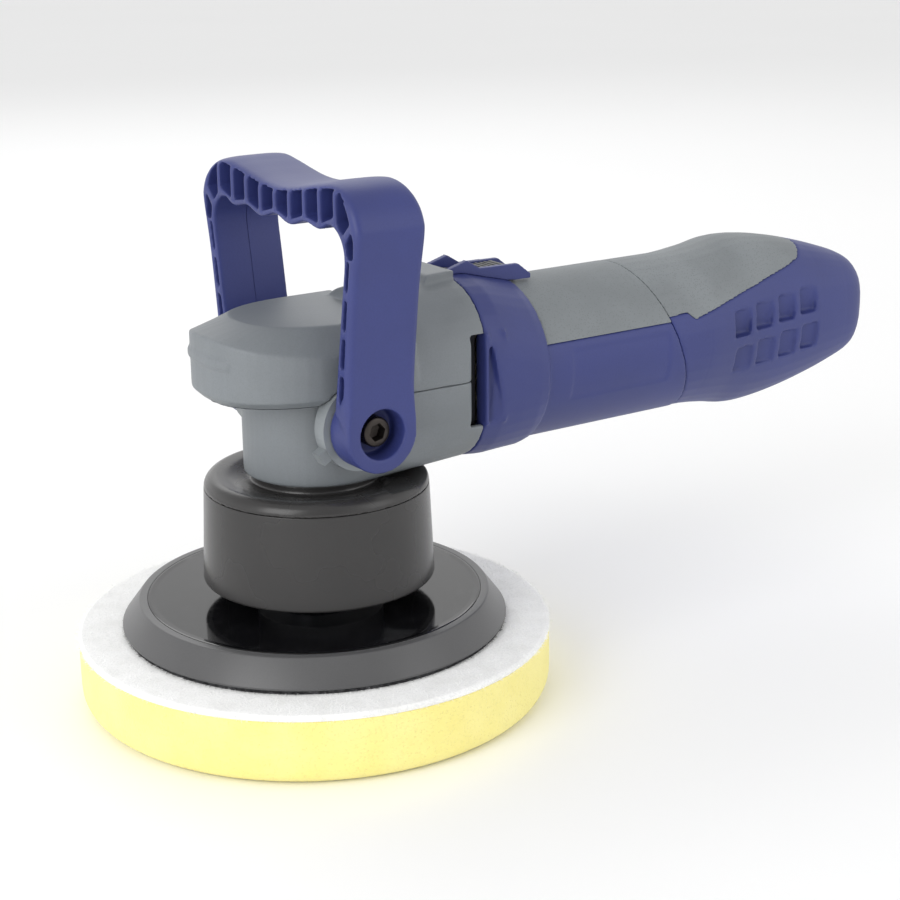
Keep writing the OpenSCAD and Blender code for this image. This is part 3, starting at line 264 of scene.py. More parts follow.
def castMetal(name, colour, rough, metal):
    f = Finish(name)
    grit = f.grain(0.8, 4.0, rough=0.6)
    cloud = f.grain(18, 3.0)
    base = f.mix(tint(colour, 0.85), tint(colour, 1.1), cloud.within(0.3, 0.7))
    base = f.mix(base, tint(colour, 1.5), f.edges().within(0.53, 0.64) * 0.4)
    return f.done(base, rough + (grit - 0.5) * 0.2, f.bump(grit, 0.07), metal)


def blackRubber(name):
    f = Finish(name, specularIorLevel=0.4)
    bloom = f.grain(6, 4.0)
    base = f.mix(shade(24, 24, 25), shade(52, 52, 53), bloom.within(0.4, 0.75))
    return f.done(base, 0.62 + (bloom - 0.5) * 0.2, f.bump(f.grain(0.5, 2.0), 0.03))


def stackedSteel(name):
    f = Finish(name)
    leaf = f.stripes(0.5, "X")
    cloud = f.grain(8, 3.0)
    base = f.mix(shade(78, 80, 84), shade(150, 152, 156), leaf.within(0.25, 0.7))
    base = f.mix(base, shade(94, 74, 58), cloud.within(0.55, 0.8) * 0.35)
    return f.done(base, 0.38 + cloud * 0.15, f.bump(leaf, 0.06), 0.85)


def woundCopper(name):
    f = Finish(name, coatRoughness=0.15)
    wire = f.stripes(0.6, "Y", 1.5)
    cloud = f.grain(5, 3.0)
    base = f.mix(shade(104, 46, 20), shade(198, 112, 62), wire.within(0.2, 0.7))
    base = f.mix(base, shade(80, 34, 16), cloud.within(0.55, 0.8) * 0.5)
    return f.done(base, 0.3 + cloud * 0.15, f.bump(wire, 0.12), 0.7)


def copperBars(name):
    f = Finish(name)
    track = f.stripes(0.7, "X", 0.4)
    cloud = f.grain(4, 3.0)
    base = f.mix(shade(170, 116, 62), shade(214, 160, 100), track.within(0.2, 0.8))
    base = f.mix(base, shade(86, 58, 38), cloud.within(0.55, 0.8) * 0.5)
    return f.done(base, 0.3 + cloud * 0.2, f.bump(track, 0.02), 1.0)


def pressedCarbon(name):
    f = Finish(name)
    dust = f.grain(0.4, 4.0, rough=0.7)
    base = f.mix(shade(30, 30, 32), shade(74, 74, 78), dust.within(0.4, 0.75))
    return f.done(base, 0.5 + dust * 0.2, f.bump(dust, 0.03))


def circuitBoard(name):
    f = Finish(name, coatRoughness=0.2)
    track = f.node("ShaderNodeTexBrick", dict(offset=0.35),
                   {"Vector": f.place, "Color1": shade(40, 112, 70), "Color2": shade(32, 96, 60),
                    "Mortar": shade(98, 150, 96), "Scale": 260.0, "Mortar Size": 0.03}, "Color")
    over = f.part("Z").within(0.1076, 0.1079)
    base = f.mix(track, shade(30, 30, 32), over)
    return f.done(base, 0.35 + f.grain(4, 2.0) * 0.2, f.bump(f.grain(0.6, 2.0), 0.03))


blueShell = shade(51, 59, 117)
coverGrey = shade(119, 124, 128)
finishes = {
    "foam": openFoam("openFoam"),
    "pile": brushedPile("brushedPile"),
    "hook": hookCloth("hookCloth"),
    "plate": mouldedPlastic("plateUrethane", shade(84, 84, 85), 0.34, spark=0.5, depth=0.015, wear=0.2),
    "disc": polishedDisc("polishedDisc"),
    "steel": turnedSteel("turnedSteel", shade(190, 192, 196), 0.26),
    "casting": castMetal("blastedCasting", shade(128, 133, 136), 0.5, 0.15),
    "weight": turnedSteel("machinedZinc", shade(182, 184, 188), 0.3, 0.95),
    "seal": blackRubber("nitrileRubber"),
    "cover": mouldedPlastic("greyCoverPlastic", coverGrey, 0.5, wear=0.16),
    "shroud": mouldedPlastic("darkDrumPlastic", shade(50, 49, 49), 0.27, spark=0.55, depth=0.012, wear=0.12),
    "fastener": turnedSteel("blackenedSteel", shade(66, 61, 58), 0.34, 0.85),
    "shell": mouldedPlastic("blueShellPlastic", blueShell, 0.48, wear=0.14),
    "grip": softGrip("greySoftGrip", shade(127, 132, 135)),
    "button": mouldedPlastic("blackPlastic", shade(34, 34, 36), 0.45, wear=0.2),
    "fan": mouldedPlastic("naturalNylon", shade(214, 208, 190), 0.42, wear=0.1),
    "lamination": stackedSteel("stackedLaminations"),
    "winding": woundCopper("varnishedCopper"),
    "bar": copperBars("copperBars"),
    "carbon": pressedCarbon("pressedCarbon"),
    "board": circuitBoard("circuitBoard"),
}
slotOf = {s["node"]: s["material_slot"] for s in record["subparts"]}
for nodeName, nodeObject in nodes.items():
    nodeObject.data.materials.clear()
    nodeObject.data.materials.append(finishes[slotOf[nodeName]])
print("finishes made:", len(finishes))


# shaping tools
def addObject(name, points, faces):
    mesh = bpy.data.meshes.new(name)
    mesh.from_pydata([Vector(p) * mm for p in points], [], faces)
    tidy = bmesh.new()
    tidy.from_mesh(mesh)
    bmesh.ops.recalc_face_normals(tidy, faces=tidy.faces)
    tidy.to_mesh(mesh)
    tidy.free()
    made = bpy.data.objects.new(name, mesh)
    scene.collection.objects.link(made)
    return made


def loft(rings, name="form"):
    # closed skin through rings of equally many points
    count = len(rings[0])
    points = [p for ring in rings for p in ring]
    faces = [list(range(count)), list(range(len(points) - count, len(points)))]
    for k in range(len(rings) - 1):
        for i in range(count):
            j = (i + 1) % count
            faces.append([k * count + i, k * count + j, (k + 1) * count + j, (k + 1) * count + i])
    return addObject(name, points, faces)


def prism(outline, axis, start, end, name="prism"):
    turn = {"x": lambda a, b, t: (t, a, b), "y": lambda a, b, t: (a, t, b), "z": lambda a, b, t: (a, b, t)}[axis]
    return loft([[turn(a, b, t) for a, b in outline] for t in (start, end)], name)


def box(a, b):
    return prism([(a[0], a[1]), (b[0], a[1]), (b[0], b[1]), (a[0], b[1])], "z", a[2], b[2])


def circle(x, y, radius, count=48):
    return [(x + radius * math.cos(2 * math.pi * i / count), y + radius * math.sin(2 * math.pi * i / count))
            for i in range(count)]


def rod(axis, radius, start, end, middle=(0, 0), count=48):
    return prism(circle(middle[0], middle[1], radius, count), axis, start, end)


def fillet(outline, radii, steps=5):
    # outline with each corner rounded by its radius
    result = []
    count = len(outline)
    for i, point in enumerate(outline):
        radius = radii[i] if isinstance(radii, (list, tuple)) else radii
        if radius <= 0:
            result.append(point)
            continue
        here, before, after = Vector(point), Vector(outline[i - 1]), Vector(outline[(i + 1) % count])
        back, on = (before - here).normalized(), (after - here).normalized()
        angle = back.angle(on)
        reach = min(radius / math.tan(angle / 2), (before - here).length * 0.49, (after - here).length * 0.49)
        for k in range(steps + 1):
            t = k / steps
            result.append(tuple(here + back * reach * (1 - t) ** 2 + on * reach * t * t))
    return result


def lathe(profile, name, steps=192, y=0.0):
    # closed profile of (radius, height) turned round the vertical through y
    points, rings = [], []
    for radius, z in profile:
        if radius < 1e-6:
            rings.append([len(points)])
            points.append((0, y, z))
        else:
            rings.append(list(range(len(points), len(points) + steps)))
            points += [(radius * math.cos(2 * math.pi * i / steps), y + radius * math.sin(2 * math.pi * i / steps), z)
                       for i in range(steps)]
    faces = []
    for k, here in enumerate(rings):
        there = rings[(k + 1) % len(rings)]
        if len(here) == 1 and len(there) == 1:
            continue
        for i in range(steps):
            j = (i + 1) % steps
            face = [here[i % len(here)], here[j % len(here)], there[j % len(there)], there[i % len(there)]]
            faces.append(list(dict.fromkeys(face)))
    return addObject(name, points, faces)


def refine(profile, longest):
    # adds points so that no stretch of the profile is longer than this
    result = []
    for i, point in enumerate(profile):
        result.append(point)
        a, b = Vector(point), Vector(profile[(i + 1) % len(profile)])
        if a.x < 1e-6 and b.x < 1e-6:
            continue
        count = int((b - a).length // longest)
        result += [tuple(a.lerp(b, (k + 1) / (count + 1))) for k in range(count)]
    return result


def settle(piece):
    # works the modifiers into the mesh
    graph = bpy.context.evaluated_depsgraph_get()
    mesh = bpy.data.meshes.new_from_object(piece.evaluated_get(graph))
    piece.modifiers.clear()
    old = piece.data
    piece.data = mesh
    bpy.data.meshes.remove(old)
    return piece


def work(piece, operation, others):
    for other in others:
        step = piece.modifiers.new(operation, "BOOLEAN")
        step.operation = operation
        step.solver = "MANIFOLD"
        step.object = other
    settle(piece)
    for other in others:
        mesh = other.data
        bpy.data.objects.remove(other)
        bpy.data.meshes.remove(mesh)
    return piece


def join(piece, *others):
    return work(piece, "UNION", others)


def cut(piece, *others):
    return work(piece, "DIFFERENCE", others)


def keep(piece, *others):
    return work(piece, "INTERSECT", others)


def bothSides(make):
    # the cutter and its mirror image across the middle plane
    return [make(1), make(-1)]


def fromFrame(node, name):
    # a new closed mesh with the frame node's own shape
    source = nodes[node].data
    tidy = bmesh.new()
    tidy.from_mesh(source)
    bmesh.ops.remove_doubles(tidy, verts=tidy.verts, dist=2e-6)
    mesh = bpy.data.meshes.new(name)
    tidy.to_mesh(mesh)
    tidy.free()
    for key in [a.name for a in mesh.attributes if a.name == "custom_normal"]:
        mesh.attributes.remove(mesh.attributes[key])
    made = bpy.data.objects.new(name, mesh)
    scene.collection.objects.link(made)
    return made


def soften(piece, voxel=0.7, rounds=4):
    # turns the sharp solid into one even skin with moulded edges
    step = piece.modifiers.new("skin", "REMESH")
    step.mode = "VOXEL"
    step.voxel_size = voxel * mm
    step.adaptivity = 0.0
    if rounds:
        smooth = piece.modifiers.new("soft", "SMOOTH")
        smooth.factor = 0.5
        smooth.iterations = rounds
    return settle(piece)


def nudge(piece, move):
    # moves each vertex by a function of its place, in millimetres
    for vertex in piece.data.vertices:
        vertex.co = Vector(move(vertex.co * 1000)) * mm


def present(piece, name, body, slotName, replaced, sharp=38.0):
    piece.name = name
    piece.data.name = name
    piece.data.materials.clear()
    piece.data.materials.append(finishes[slotName])
    piece.data.polygons.foreach_set("use_smooth", [True] * len(piece.data.polygons))
    piece.data.set_sharp_from_angle(angle=math.radians(sharp))
    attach(piece, body)
    if replaced:
        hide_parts(*replaced)
    print(name, len(piece.data.polygons), "faces")
    return piece


def bristles(name, count, seed, start, length, radius, bend=0.5):
    # many short tapered fibres; start gives root and direction for a random generator
    chance = random.Random(seed)
    points, faces = [], []
    for _ in range(count):
        root, way = start(chance)
        root, way = Vector(root), Vector(way).normalized()
        side = Vector((chance.uniform(-1, 1), chance.uniform(-1, 1), chance.uniform(-0.4, 0.4)))
        size = length * chance.uniform(0.6, 1.15)
        first = way.orthogonal().normalized()
        second = way.cross(first)
        base = len(points)
        for level, share in ((0, 1.0), (0.5, 0.8), (0.85, 0.5)):
            middle = root + way * size * level + side * bend * size * level * level
            for k in range(3):
                a = 2 * math.pi * k / 3
                points.append(middle + (first * math.cos(a) + second * math.sin(a)) * radius * share)
        points.append(root + way * size * 0.95 + side * bend * size)
        faces.append([base, base + 1, base + 2])
        for level in (0, 3):
            for k in range(3):
                a, b = base + level + k, base + level + (k + 1) % 3
                faces.append([a, b, b + 3, a + 3])
        for k in range(3):
            faces.append([base + 6 + k, base + 6 + (k + 1) % 3, base + 9])
    return addObject(name, points, faces)


# foam pad
foamPad = dict(lowerEdge=8.0, upperEdge=0.9, unevenness=0.16, steps=300)


def makeFoamPad():
    radius, top = high("pad_foam").x, high("pad_foam").z
    outline = fillet([(0, 0), (radius, 0), (radius, top), (0, top)],
                     [0, foamPad["lowerEdge"], foamPad["upperEdge"], 0], 10)
    piece = lathe(refine(outline, 2.2), "foamPad", foamPad["steps"], orbitY)

    def uneven(p):
        out = Vector((p.x, p.y - orbitY, 0))
        if out.length < radius * 0.5 or p.z < 1:
            return p
        dent = abs(noise.noise(p * 0.11)) + 0.35 * abs(noise.noise(p * 0.6))
        return p - out.normalized() * dent * foamPad["unevenness"]

    nudge(piece, uneven)
    present(piece, "foamPad", "pad", "foam", ["pad_foam"], 50)


# white pile bonded to the foam
pile = dict(edgeDrop=0.9, unevenness=0.3, steps=360, fibres=5200, fibreLength=1.5, fibreRadius=0.07)


def makePile():
    radius, bottom, top = high("pad_loop").x, low("pad_loop").z, high("pad_loop").z
    outline = fillet([(0, bottom), (radius - 0.05, bottom), (radius + 0.05, top - pile["edgeDrop"]),
                      (radius - 1.2, top), (0, top)], [0, 0.1, 0.6, 0.8, 0], 4)
    piece = lathe(refine(outline, 1.6), "pile", pile["steps"], orbitY)

    def rough(p):
        out = Vector((p.x, p.y - orbitY, 0))
        if out.length < radius * 0.7 or p.z < bottom + 0.05:
            return p
        swing = noise.noise(p * 0.9) * pile["unevenness"]
        return p + out.normalized() * swing * (1 if p.z < top - 0.2 else 0) + Vector((0, 0, swing * 0.5))

    nudge(piece, rough)
    inner = high("plate_rim").x - 1.5

    def root(chance):
        turn = chance.uniform(0, 2 * math.pi)
        if chance.random() < 0.35:
            reach, z = radius - chance.uniform(0, 0.5), chance.uniform(bottom + 0.2, top - 0.3)
            lean = (math.cos(turn), math.sin(turn), chance.uniform(-0.7, 0.5))
        else:
            reach = math.sqrt(chance.uniform(inner ** 2, (radius - 0.6) ** 2))
            z = top - 0.25
            lean = (chance.uniform(-1, 1), chance.uniform(-1, 1), 0.75)
        return (reach * math.cos(turn), orbitY + reach * math.sin(turn), z), lean

    fibres = bristles("pileFibres", pile["fibres"], 11, root, pile["fibreLength"], pile["fibreRadius"])
    present(piece, "pile", "pad", "pile", ["pad_loop"], 60)
    present(fibres, "pileFibres", "pad", "pile", [], 60)


# hook layer with its frayed edge
hookLayer = dict(fringe=2600, fringeLength=1.5, fringeRadius=0.06)


def makeHookLayer():
    radius, bottom, top = high("hook_disc").x, low("hook_disc").z, high("hook_disc").z
    outline = fillet([(0, bottom), (radius, bottom), (radius, top), (0, top)], [0, 0.3, 0.2, 0], 3)
    piece = lathe(outline, "hookLayer", 240, orbitY)

    def root(chance):
        turn = chance.uniform(0, 2 * math.pi)
        reach = radius - 0.5
        return ((reach * math.cos(turn), orbitY + reach * math.sin(turn), chance.uniform(bottom + 0.1, top - 0.1)),
                (math.cos(turn) + chance.uniform(-0.6, 0.6), math.sin(turn) + chance.uniform(-0.6, 0.6),
                 chance.uniform(-0.5, 0.15)))

    fringe = bristles("hookFringe", hookLayer["fringe"], 7, root, hookLayer["fringeLength"], hookLayer["fringeRadius"])
    present(piece, "hookLayer", "pad", "hook", ["hook_disc"])
    present(fringe, "hookFringe", "pad", "hook", [])


# backing plate: moulded body and glossy disc
backingPlate = dict(bevel=6.7, lip=0.8, rim=3.1, recess=3.0, edge=0.45, hub=14.0, flange=24.0)


def makeBackingPlate():
    radius, bottom, top = high("plate_rim").x, low("plate_rim").z, high("plate_rim").z
    hub, flange = backingPlate["hub"], backingPlate["flange"]
    inner = radius - backingPlate["bevel"] - backingPlate["rim"]
    outline = [(flange, bottom), (radius, bottom), (radius, bottom + backingPlate["lip"]),
               (radius - backingPlate["bevel"], top), (inner, top), (inner, top - backingPlate["recess"]),
               (hub, top - backingPlate["recess"]), (hub, bottom + 3), (flange, bottom + 3)]
    e = backingPlate["edge"]
    piece = lathe(fillet(outline, [0, 0.3, 0.35, 0.9, e, 0, 0, 0, 0], 5), "plateRim", 256, orbitY)
    present(piece, "plateRim", "pad", "plate", ["plate_rim"], 45)
    outline = [(hub + 0.05, top - backingPlate["recess"]), (inner, top - backingPlate["recess"]),
               (inner, top - 0.05), (inner - 0.9, top), (inner - 2.6, top - 0.12), (hub + 4, top - 0.12),
               (hub + 3, top), (hub + 0.05, top)]
    disc = lathe(fillet(outline, [0, 0, 0.3, 0.4, 0.6, 0.6, 0.3, 0.3], 4), "plateDisc", 256, orbitY)
    present(disc, "plateDisc", "pad", "disc", ["plate_disc"], 45)


# drum shroud and its cap
drum = dict(wall=2.2, lip=0.9, capVoxel=0.5, capRounds=5)


def makeDrum():
    bottom, seam = low("shroud").z, high("shroud").z
    lower = high("shroud").x
    upper = high("shroud_cap").x
    wall = drum["wall"]
    outline = fillet([(lower - wall, bottom), (lower, bottom), (upper, seam), (upper - wall, seam)],
                     [0.5, drum["lip"], 0.35, 0.1], 6)
    present(lathe(refine(outline, 4), "drum", 256), "drum", "housing", "shroud", ["shroud"], 50)
    cap = fromFrame("shroud_cap", "drumCap")
    soften(cap, drum["capVoxel"], drum["capRounds"])
    present(cap, "drumCap", "housing", "shroud", ["shroud_cap"], 50)


# gear head covers
headCover = dict(voxel=0.65, rounds=4, ribLow=18.3, ribHigh=21.3, ribProud=0.8, ribHalf=15.0,
                 noseHalf=34.0, slitBelow=12.6, slitAbove=19.4)


def noseOutline(reach, half, squareness, z, drop=0.0, tail=24.0, count=56):
    ring = []
    for i in range(count + 1):
        t = math.radians(-90 + 180 * i / count)
        y = half * math.copysign(abs(math.sin(t)) ** (2 / squareness), math.sin(t))
        ring.append((6 - (reach + 6) * abs(math.cos(t)) ** (2 / squareness), y, z - drop * (y / half) ** 2))
    return ring + [(tail, half, z - drop), (tail, -half, z - drop)]


def airSlit(s):
    # cutter that opens the covers' rear edge beside the cuff's louvre
    rear = high("head_cover").x
    return prism([(rear - 10.5, s * 40), (rear - 9.6, s * (headHalf + 0.2)), (rear - 5.9, s * (headHalf - 1.7)),
                  (rear + 2, s * (headHalf - 1.7)), (rear + 2, s * 40)], "z",
                 axisZ - headCover["slitBelow"], axisZ + headCover["slitAbove"])


def makeHeadCover():
    c = headCover
    cover = fromFrame("head_cover", "headCover")
    reach, half = -low("head_cover").x, c["noseHalf"]
    proud = c["ribProud"]
    band = loft([noseOutline(reach + proud, half + proud, 2.5, axisZ + h) for h in (c["ribLow"], c["ribHigh"])])
    keep(band, box((-60, -c["ribHalf"], 0), (-reach + 4, c["ribHalf"], 200)))
    join(cover, band)
    cut(cover, *bothSides(airSlit))
    soften(cover, c["voxel"], c["rounds"])
    present(cover, "headCover", "housing", "cover", ["head_cover"])
    skirt = fromFrame("head_skirt", "headSkirt")
    cut(skirt, *bothSides(airSlit))
    soften(skirt, c["voxel"], c["rounds"])
    present(skirt, "headSkirt", "housing", "cover", ["head_skirt"])


# bail handle
bail = dict(voxel=0.6, rounds=3, outerRound=2.6, innerRound=1.1, crown=1.3, rib=1.9, rim=2.0, pocket=9.0,
            legStart=10.6, legPitch=13.7, legCell=11.3, partingWidth=0.34, partingDepth=0.22,
            bore=4.05, counterbore=9.1, counterboreDepth=9.9, finalVoxel=0.55)
bailHalf = high("bail_handle").y
bailDeep = high("bail_handle").x
footIn, footOut, footRadius = 34.5, 47.6, 14.2
saddleZ, crestRise, gripThick = pivotZ + 83.3, 5.2, 11.8
ribPitch = 10.41
cornerZ = saddleZ + crestRise - 16


def gripTop(y):
    return saddleZ + crestRise * (1 - math.cos(math.pi * min(1, abs(y) / (0.75 * bailHalf)))) / 2


def gripUnder(y):
    return (saddleZ - gripThick + 2.4 * min(1, abs(y) / (0.64 * bailHalf)) ** 4
            + 1.15 * math.cos(math.pi * y / ribPitch))


def legIn(z):
    return footIn + 2.4 + 0.16 * (z - pivotZ)


def legOut(z):
    return footOut + (bailHalf - footOut) * (max(0, z - pivotZ - 14) / 64) ** 1.25


def curveThrough(points, count):
    result = []
    for i in range(1, len(points) - 2):
        a, b, c, d = (Vector(p) for p in points[i - 1:i + 3])
        for k in range(count):
            t = k / count
            result.append(tuple(0.5 * (2 * b + (c - a) * t + (2 * a - 5 * b + 4 * c - d) * t * t
                                       + (3 * b - a - 3 * c + d) * t ** 3)))
    return result + [tuple(points[-2])]


def makeBail():
    outer = curveThrough(
        [(legOut(z), z) for z in (pivotZ - 16, pivotZ, pivotZ + 18, pivotZ + 38, pivotZ + 54)]
        + [(bailHalf - 0.4, cornerZ - 2), (bailHalf - 1, cornerZ + 3.6), (bailHalf - 4.6, cornerZ + 9.6),
           (bailHalf - 10.5, cornerZ + 13.9)]
        + [(k * bailHalf, gripTop(k * bailHalf)) for k in (0.66, 0.5, 0.34, 0.17, 0, -0.17)], 8)
    inner = curveThrough(
        [(-6, gripUnder(6))] + [(k * ribPitch / 4, gripUnder(k * ribPitch / 4)) for k in range(0, 15)]
        + [(legIn(cornerZ - 10) - 5.6, cornerZ + 0.6), (legIn(cornerZ - 10) - 1.4, cornerZ - 3.4),
           (legIn(cornerZ - 10), cornerZ - 10)]
        + [(legIn(z), z) for z in (cornerZ - 24, pivotZ + 26, pivotZ + 8, pivotZ - 10)], 4)
    outer = [p for p in outer if p[0] >= 0]
    inner = [p for p in inner if p[0] > 0]
    # outer half first, so that the outline runs once round
    hoop = (outer + [(-p[0], p[1]) for p in outer[-2::-1]] + [(-p[0], p[1]) for p in inner[::-1]]
            + [(0, gripUnder(0))] + inner)
    piece = prism(hoop, "x", -bailDeep, bailDeep, "bailHandle")
    for s in (1, -1):
        join(piece, rod("y", footRadius, s * footIn, s * footOut, (0, pivotZ), 96))
        foot = box((-bailDeep - 1, min(s * 20, s * 60), pivotZ - 40), (bailDeep + 1, max(s * 20, s * 60), pivotZ))
        cut(foot, rod("y", footRadius, s * 19, s * 61, (0, pivotZ), 96))
        cut(piece, foot)
        cut(piece, box((-40, min(s * footOut, s * 70), pivotZ - 30), (40, max(s * footOut, s * 70), pivotZ + 6)))
    # round the long edges: outside broadly, towards the opening tightly
    soften(piece, bail["voxel"], 0)
    spans = []
    for line, radius in ((outer, bail["outerRound"]), (inner, bail["innerRound"])):
        spans.append((radius, [(Vector(a), Vector(b)) for a, b in zip(line, line[1:])]))

    def away(point, pieces):
        best = 1e9
        for a, b in pieces:
            d = b - a
            t = max(0.0, min(1.0, (point - a).dot(d) / d.length_squared))
            best = min(best, (a + d * t - point).length_squared)
        return math.sqrt(best)

    def rounded(p):
        if abs(p.x) < bailDeep - bail["outerRound"] or p.z < pivotZ + 2:
            return p
        spot = Vector((abs(p.y), p.z))
        deep = bailDeep
        for radius, pieces in spans:
            if abs(p.x) > bailDeep - radius:
                gone = away(spot, pieces)
                if gone < radius:
                    fall = radius - math.sqrt(max(0.0, radius ** 2 - (radius - gone) ** 2))
                    fade = min(1.0, (p.z - pivotZ - 2) / 14)
                    deep = min(deep, bailDeep - fall * fade)
        return Vector((math.copysign(min(abs(p.x), deep), p.x), p.y, p.z))

    def crowned(p):
        # the top of the grip is gently rounded from front to back
        edge = max(0.0, min(1.0, (p.z - gripUnder(p.y) - 4) / 5)) * max(0.0, min(1.0, (bailHalf - abs(p.y)) / 9))
        return p - Vector((0, 0, bail["crown"] * edge * (abs(p.x) / bailDeep) ** 4))

    nudge(piece, rounded)
    nudge(piece, crowned)
    cells = []
    front, back = -bailDeep - 1, -bailDeep + bail["pocket"]
    rib, rim = bail["rib"] / 2, bail["rim"]
    for s in (1, -1):
        for i in range(4):
            a, b = i * ribPitch + rib, (i + 1) * ribPitch - rib
            cells.append(([(a, gripUnder(a) + rim), (a, gripTop(a) - rim), (b, gripTop(b) - rim),
                           (b, gripUnder(b) + rim)], s))
        y0 = 4 * ribPitch + rib
        cells.append(([(y0, cornerZ + 2.4), (y0, gripTop(y0) - rim - 0.1), (y0 + 4.2, cornerZ + 10.9),
                       (bailHalf - 6.6, cornerZ + 7.0), (bailHalf - 5.0, cornerZ + 3.6),
                       (y0 + 3.6, cornerZ - 0.9)], s))
        cells.append(([(y0 + 5.4, cornerZ - 3.2), (bailHalf - 4.0, cornerZ + 1.2), (bailHalf - 3.2, cornerZ - 2),
                       (bailHalf - 3.5, cornerZ - 8.4), (legIn(cornerZ - 8) + 1.7, cornerZ - 8.4)], s))
        for i in range(4):
            z0 = pivotZ + bail["legStart"] + i * bail["legPitch"]
            z1 = z0 + bail["legCell"]
            a0, b0, a1, b1 = legIn(z0) + 1.6, legOut(z0) - 3.3, legIn(z1) + 1.6, legOut(z1) - 3.3
            shape = [(a0, z0), (b0, z0 + 1.2), (b1, z1 + 0.8), (a1, z1)]
            if i == 0:
                shape = [(a0 + 0.6, z0 - 1.2), (a0 + 2.4, z0 + 2.4), (b0, z0 + 5), (b1, z1 + 0.8), (a1, z1)]
            cells.append((shape, s))
    for outline, s in cells:
        middle = sum((Vector(p) for p in outline), Vector((0, 0))) / len(outline)
        # walls of the pockets draw in with depth, as they do in a mould
        wide = fillet(outline, 0.8, 3)
        deep = [tuple(middle + (Vector(p) - middle) * 0.86) for p in wide]
        cutter = loft([[(front, s * p[0], p[1]) for p in wide], [(-bailDeep + 0.2, s * p[0], p[1]) for p in wide],
                       [(back, s * p[0], p[1]) for p in deep]])
        cut(piece, cutter)
    for s in (1, -1):
        cut(piece, rod("y", bail["bore"], s * (footIn - 2), s * (footOut + 2), (0, pivotZ), 48))
        cut(piece, lathedAlongY(bail["counterbore"], s * (footOut - bail["counterboreDepth"]), s * (footOut + 2)))
    soften(piece, bail["finalVoxel"], bail["rounds"])
    opening = [(y, z) for y, z in inner]
    w = bail["partingDepth"]
    loop = [(y + w, z + w * 0.7) for y, z in opening]
    loop = [(-y, z) for y, z in reversed(loop)] + loop
    cut(piece, prism(loop, "x", -bail["partingWidth"] / 2, bail["partingWidth"] / 2))
    present(piece, "bailHandle", "bail", "shell", ["bail_handle"])


def lathedAlongY(radius, start, end):
    # counterbore with a small lead-in at its mouth
    rings = []
    for share, extra in ((0.0, 0.0), (0.8, 0.0), (0.84, 0.6), (1.0, 0.6)):
        y = start + (end - start) * share
        rings.append([(x, y, z) for x, z in circle(0, pivotZ, radius + extra, 64)])
    return loft(rings)


# pivot bolts
pivotBolt = dict(head=5.5, headHeight=6.0, socket=2.9, socketDepth=4.2, shoulder=4.0, thread=3.0, knurls=36)


def makePivotBolts():
    b = pivotBolt
    face = footOut - 4 + 0.05          # outer face of the bolt's head
    made = None
    for s in (1, -1):
        rings = []
        for y, radius in ((face - 22.5, b["thread"] - 0.6), (face - 22, b["thread"]), (face - 9.9, b["thread"]),
                          (face - 9.9, b["shoulder"]), (face - b["headHeight"], b["shoulder"]),
                          (face - b["headHeight"], b["head"] - 0.3), (face - b["headHeight"] + 0.3, b["head"]),
                          (face - 1.0, b["head"]), (face - 0.35, b["head"] - 0.25), (face, b["head"] - 0.9)):
            knurled = radius == b["head"]
            count = b["knurls"] * 4
            ring = []
            for i in range(count):
                a = 2 * math.pi * i / count
                r = radius - (0.16 if knurled and i % 4 in (0, 1) else 0.0)
                ring.append((r * math.cos(a), s * y, pivotZ + r * math.sin(a)))
            rings.append(ring)
        bolt = loft(rings)
        corner = b["socket"] / math.cos(math.pi / 6)
        turns = [math.radians(60 * k + 12) for k in range(6)]
        cut(bolt, prism([(corner * math.cos(a), pivotZ + corner * math.sin(a)) for a in turns], "y",
                        s * (face - b["socketDepth"]), s * (face + 2)))
        made = bolt if made is None else join(made, bolt)
    bevel = made.modifiers.new("edge", "BEVEL")
    bevel.width = 0.12 * mm
    bevel.segments = 2
    bevel.angle_limit = math.radians(40)
    settle(made)
    present(made, "pivotBolts", "housing", "fastener", ["pivot_bolts"], 30)


# motor housing
motorHousing = dict(voxel=0.7, rounds=4, gripVoxel=0.55, gripRounds=2, gripProud=0.25)
cuffForm = [(0, 0, 0, 3.6, 2.6), (0.26, 0, -0.2, 2.9, 2.6), (0.58, 0.4, 0.9, 1.6, 2.4), (0.85, 0.9, 1.5, 0.5, 2.2),
            (1, 1.5, 2, 0, 2)]
cuffLen = 30.6


def cuffSolid(shrink):
    rings = []
    for share, side, tall, rise, square in cuffForm:
        ring = []
        for i in range(80):
            a = 2 * math.pi * i / 80
            ring.append((cuffX + share * cuffLen,
                         (headHalf - side - shrink) * math.copysign(abs(math.cos(a)) ** (2 / square), math.cos(a)),
                         axisZ + rise + (headTall - tall - shrink) * math.copysign(abs(math.sin(a)) ** (2 / square),
                                                                                   math.sin(a))))
        rings.append(ring)
    return loft(rings)


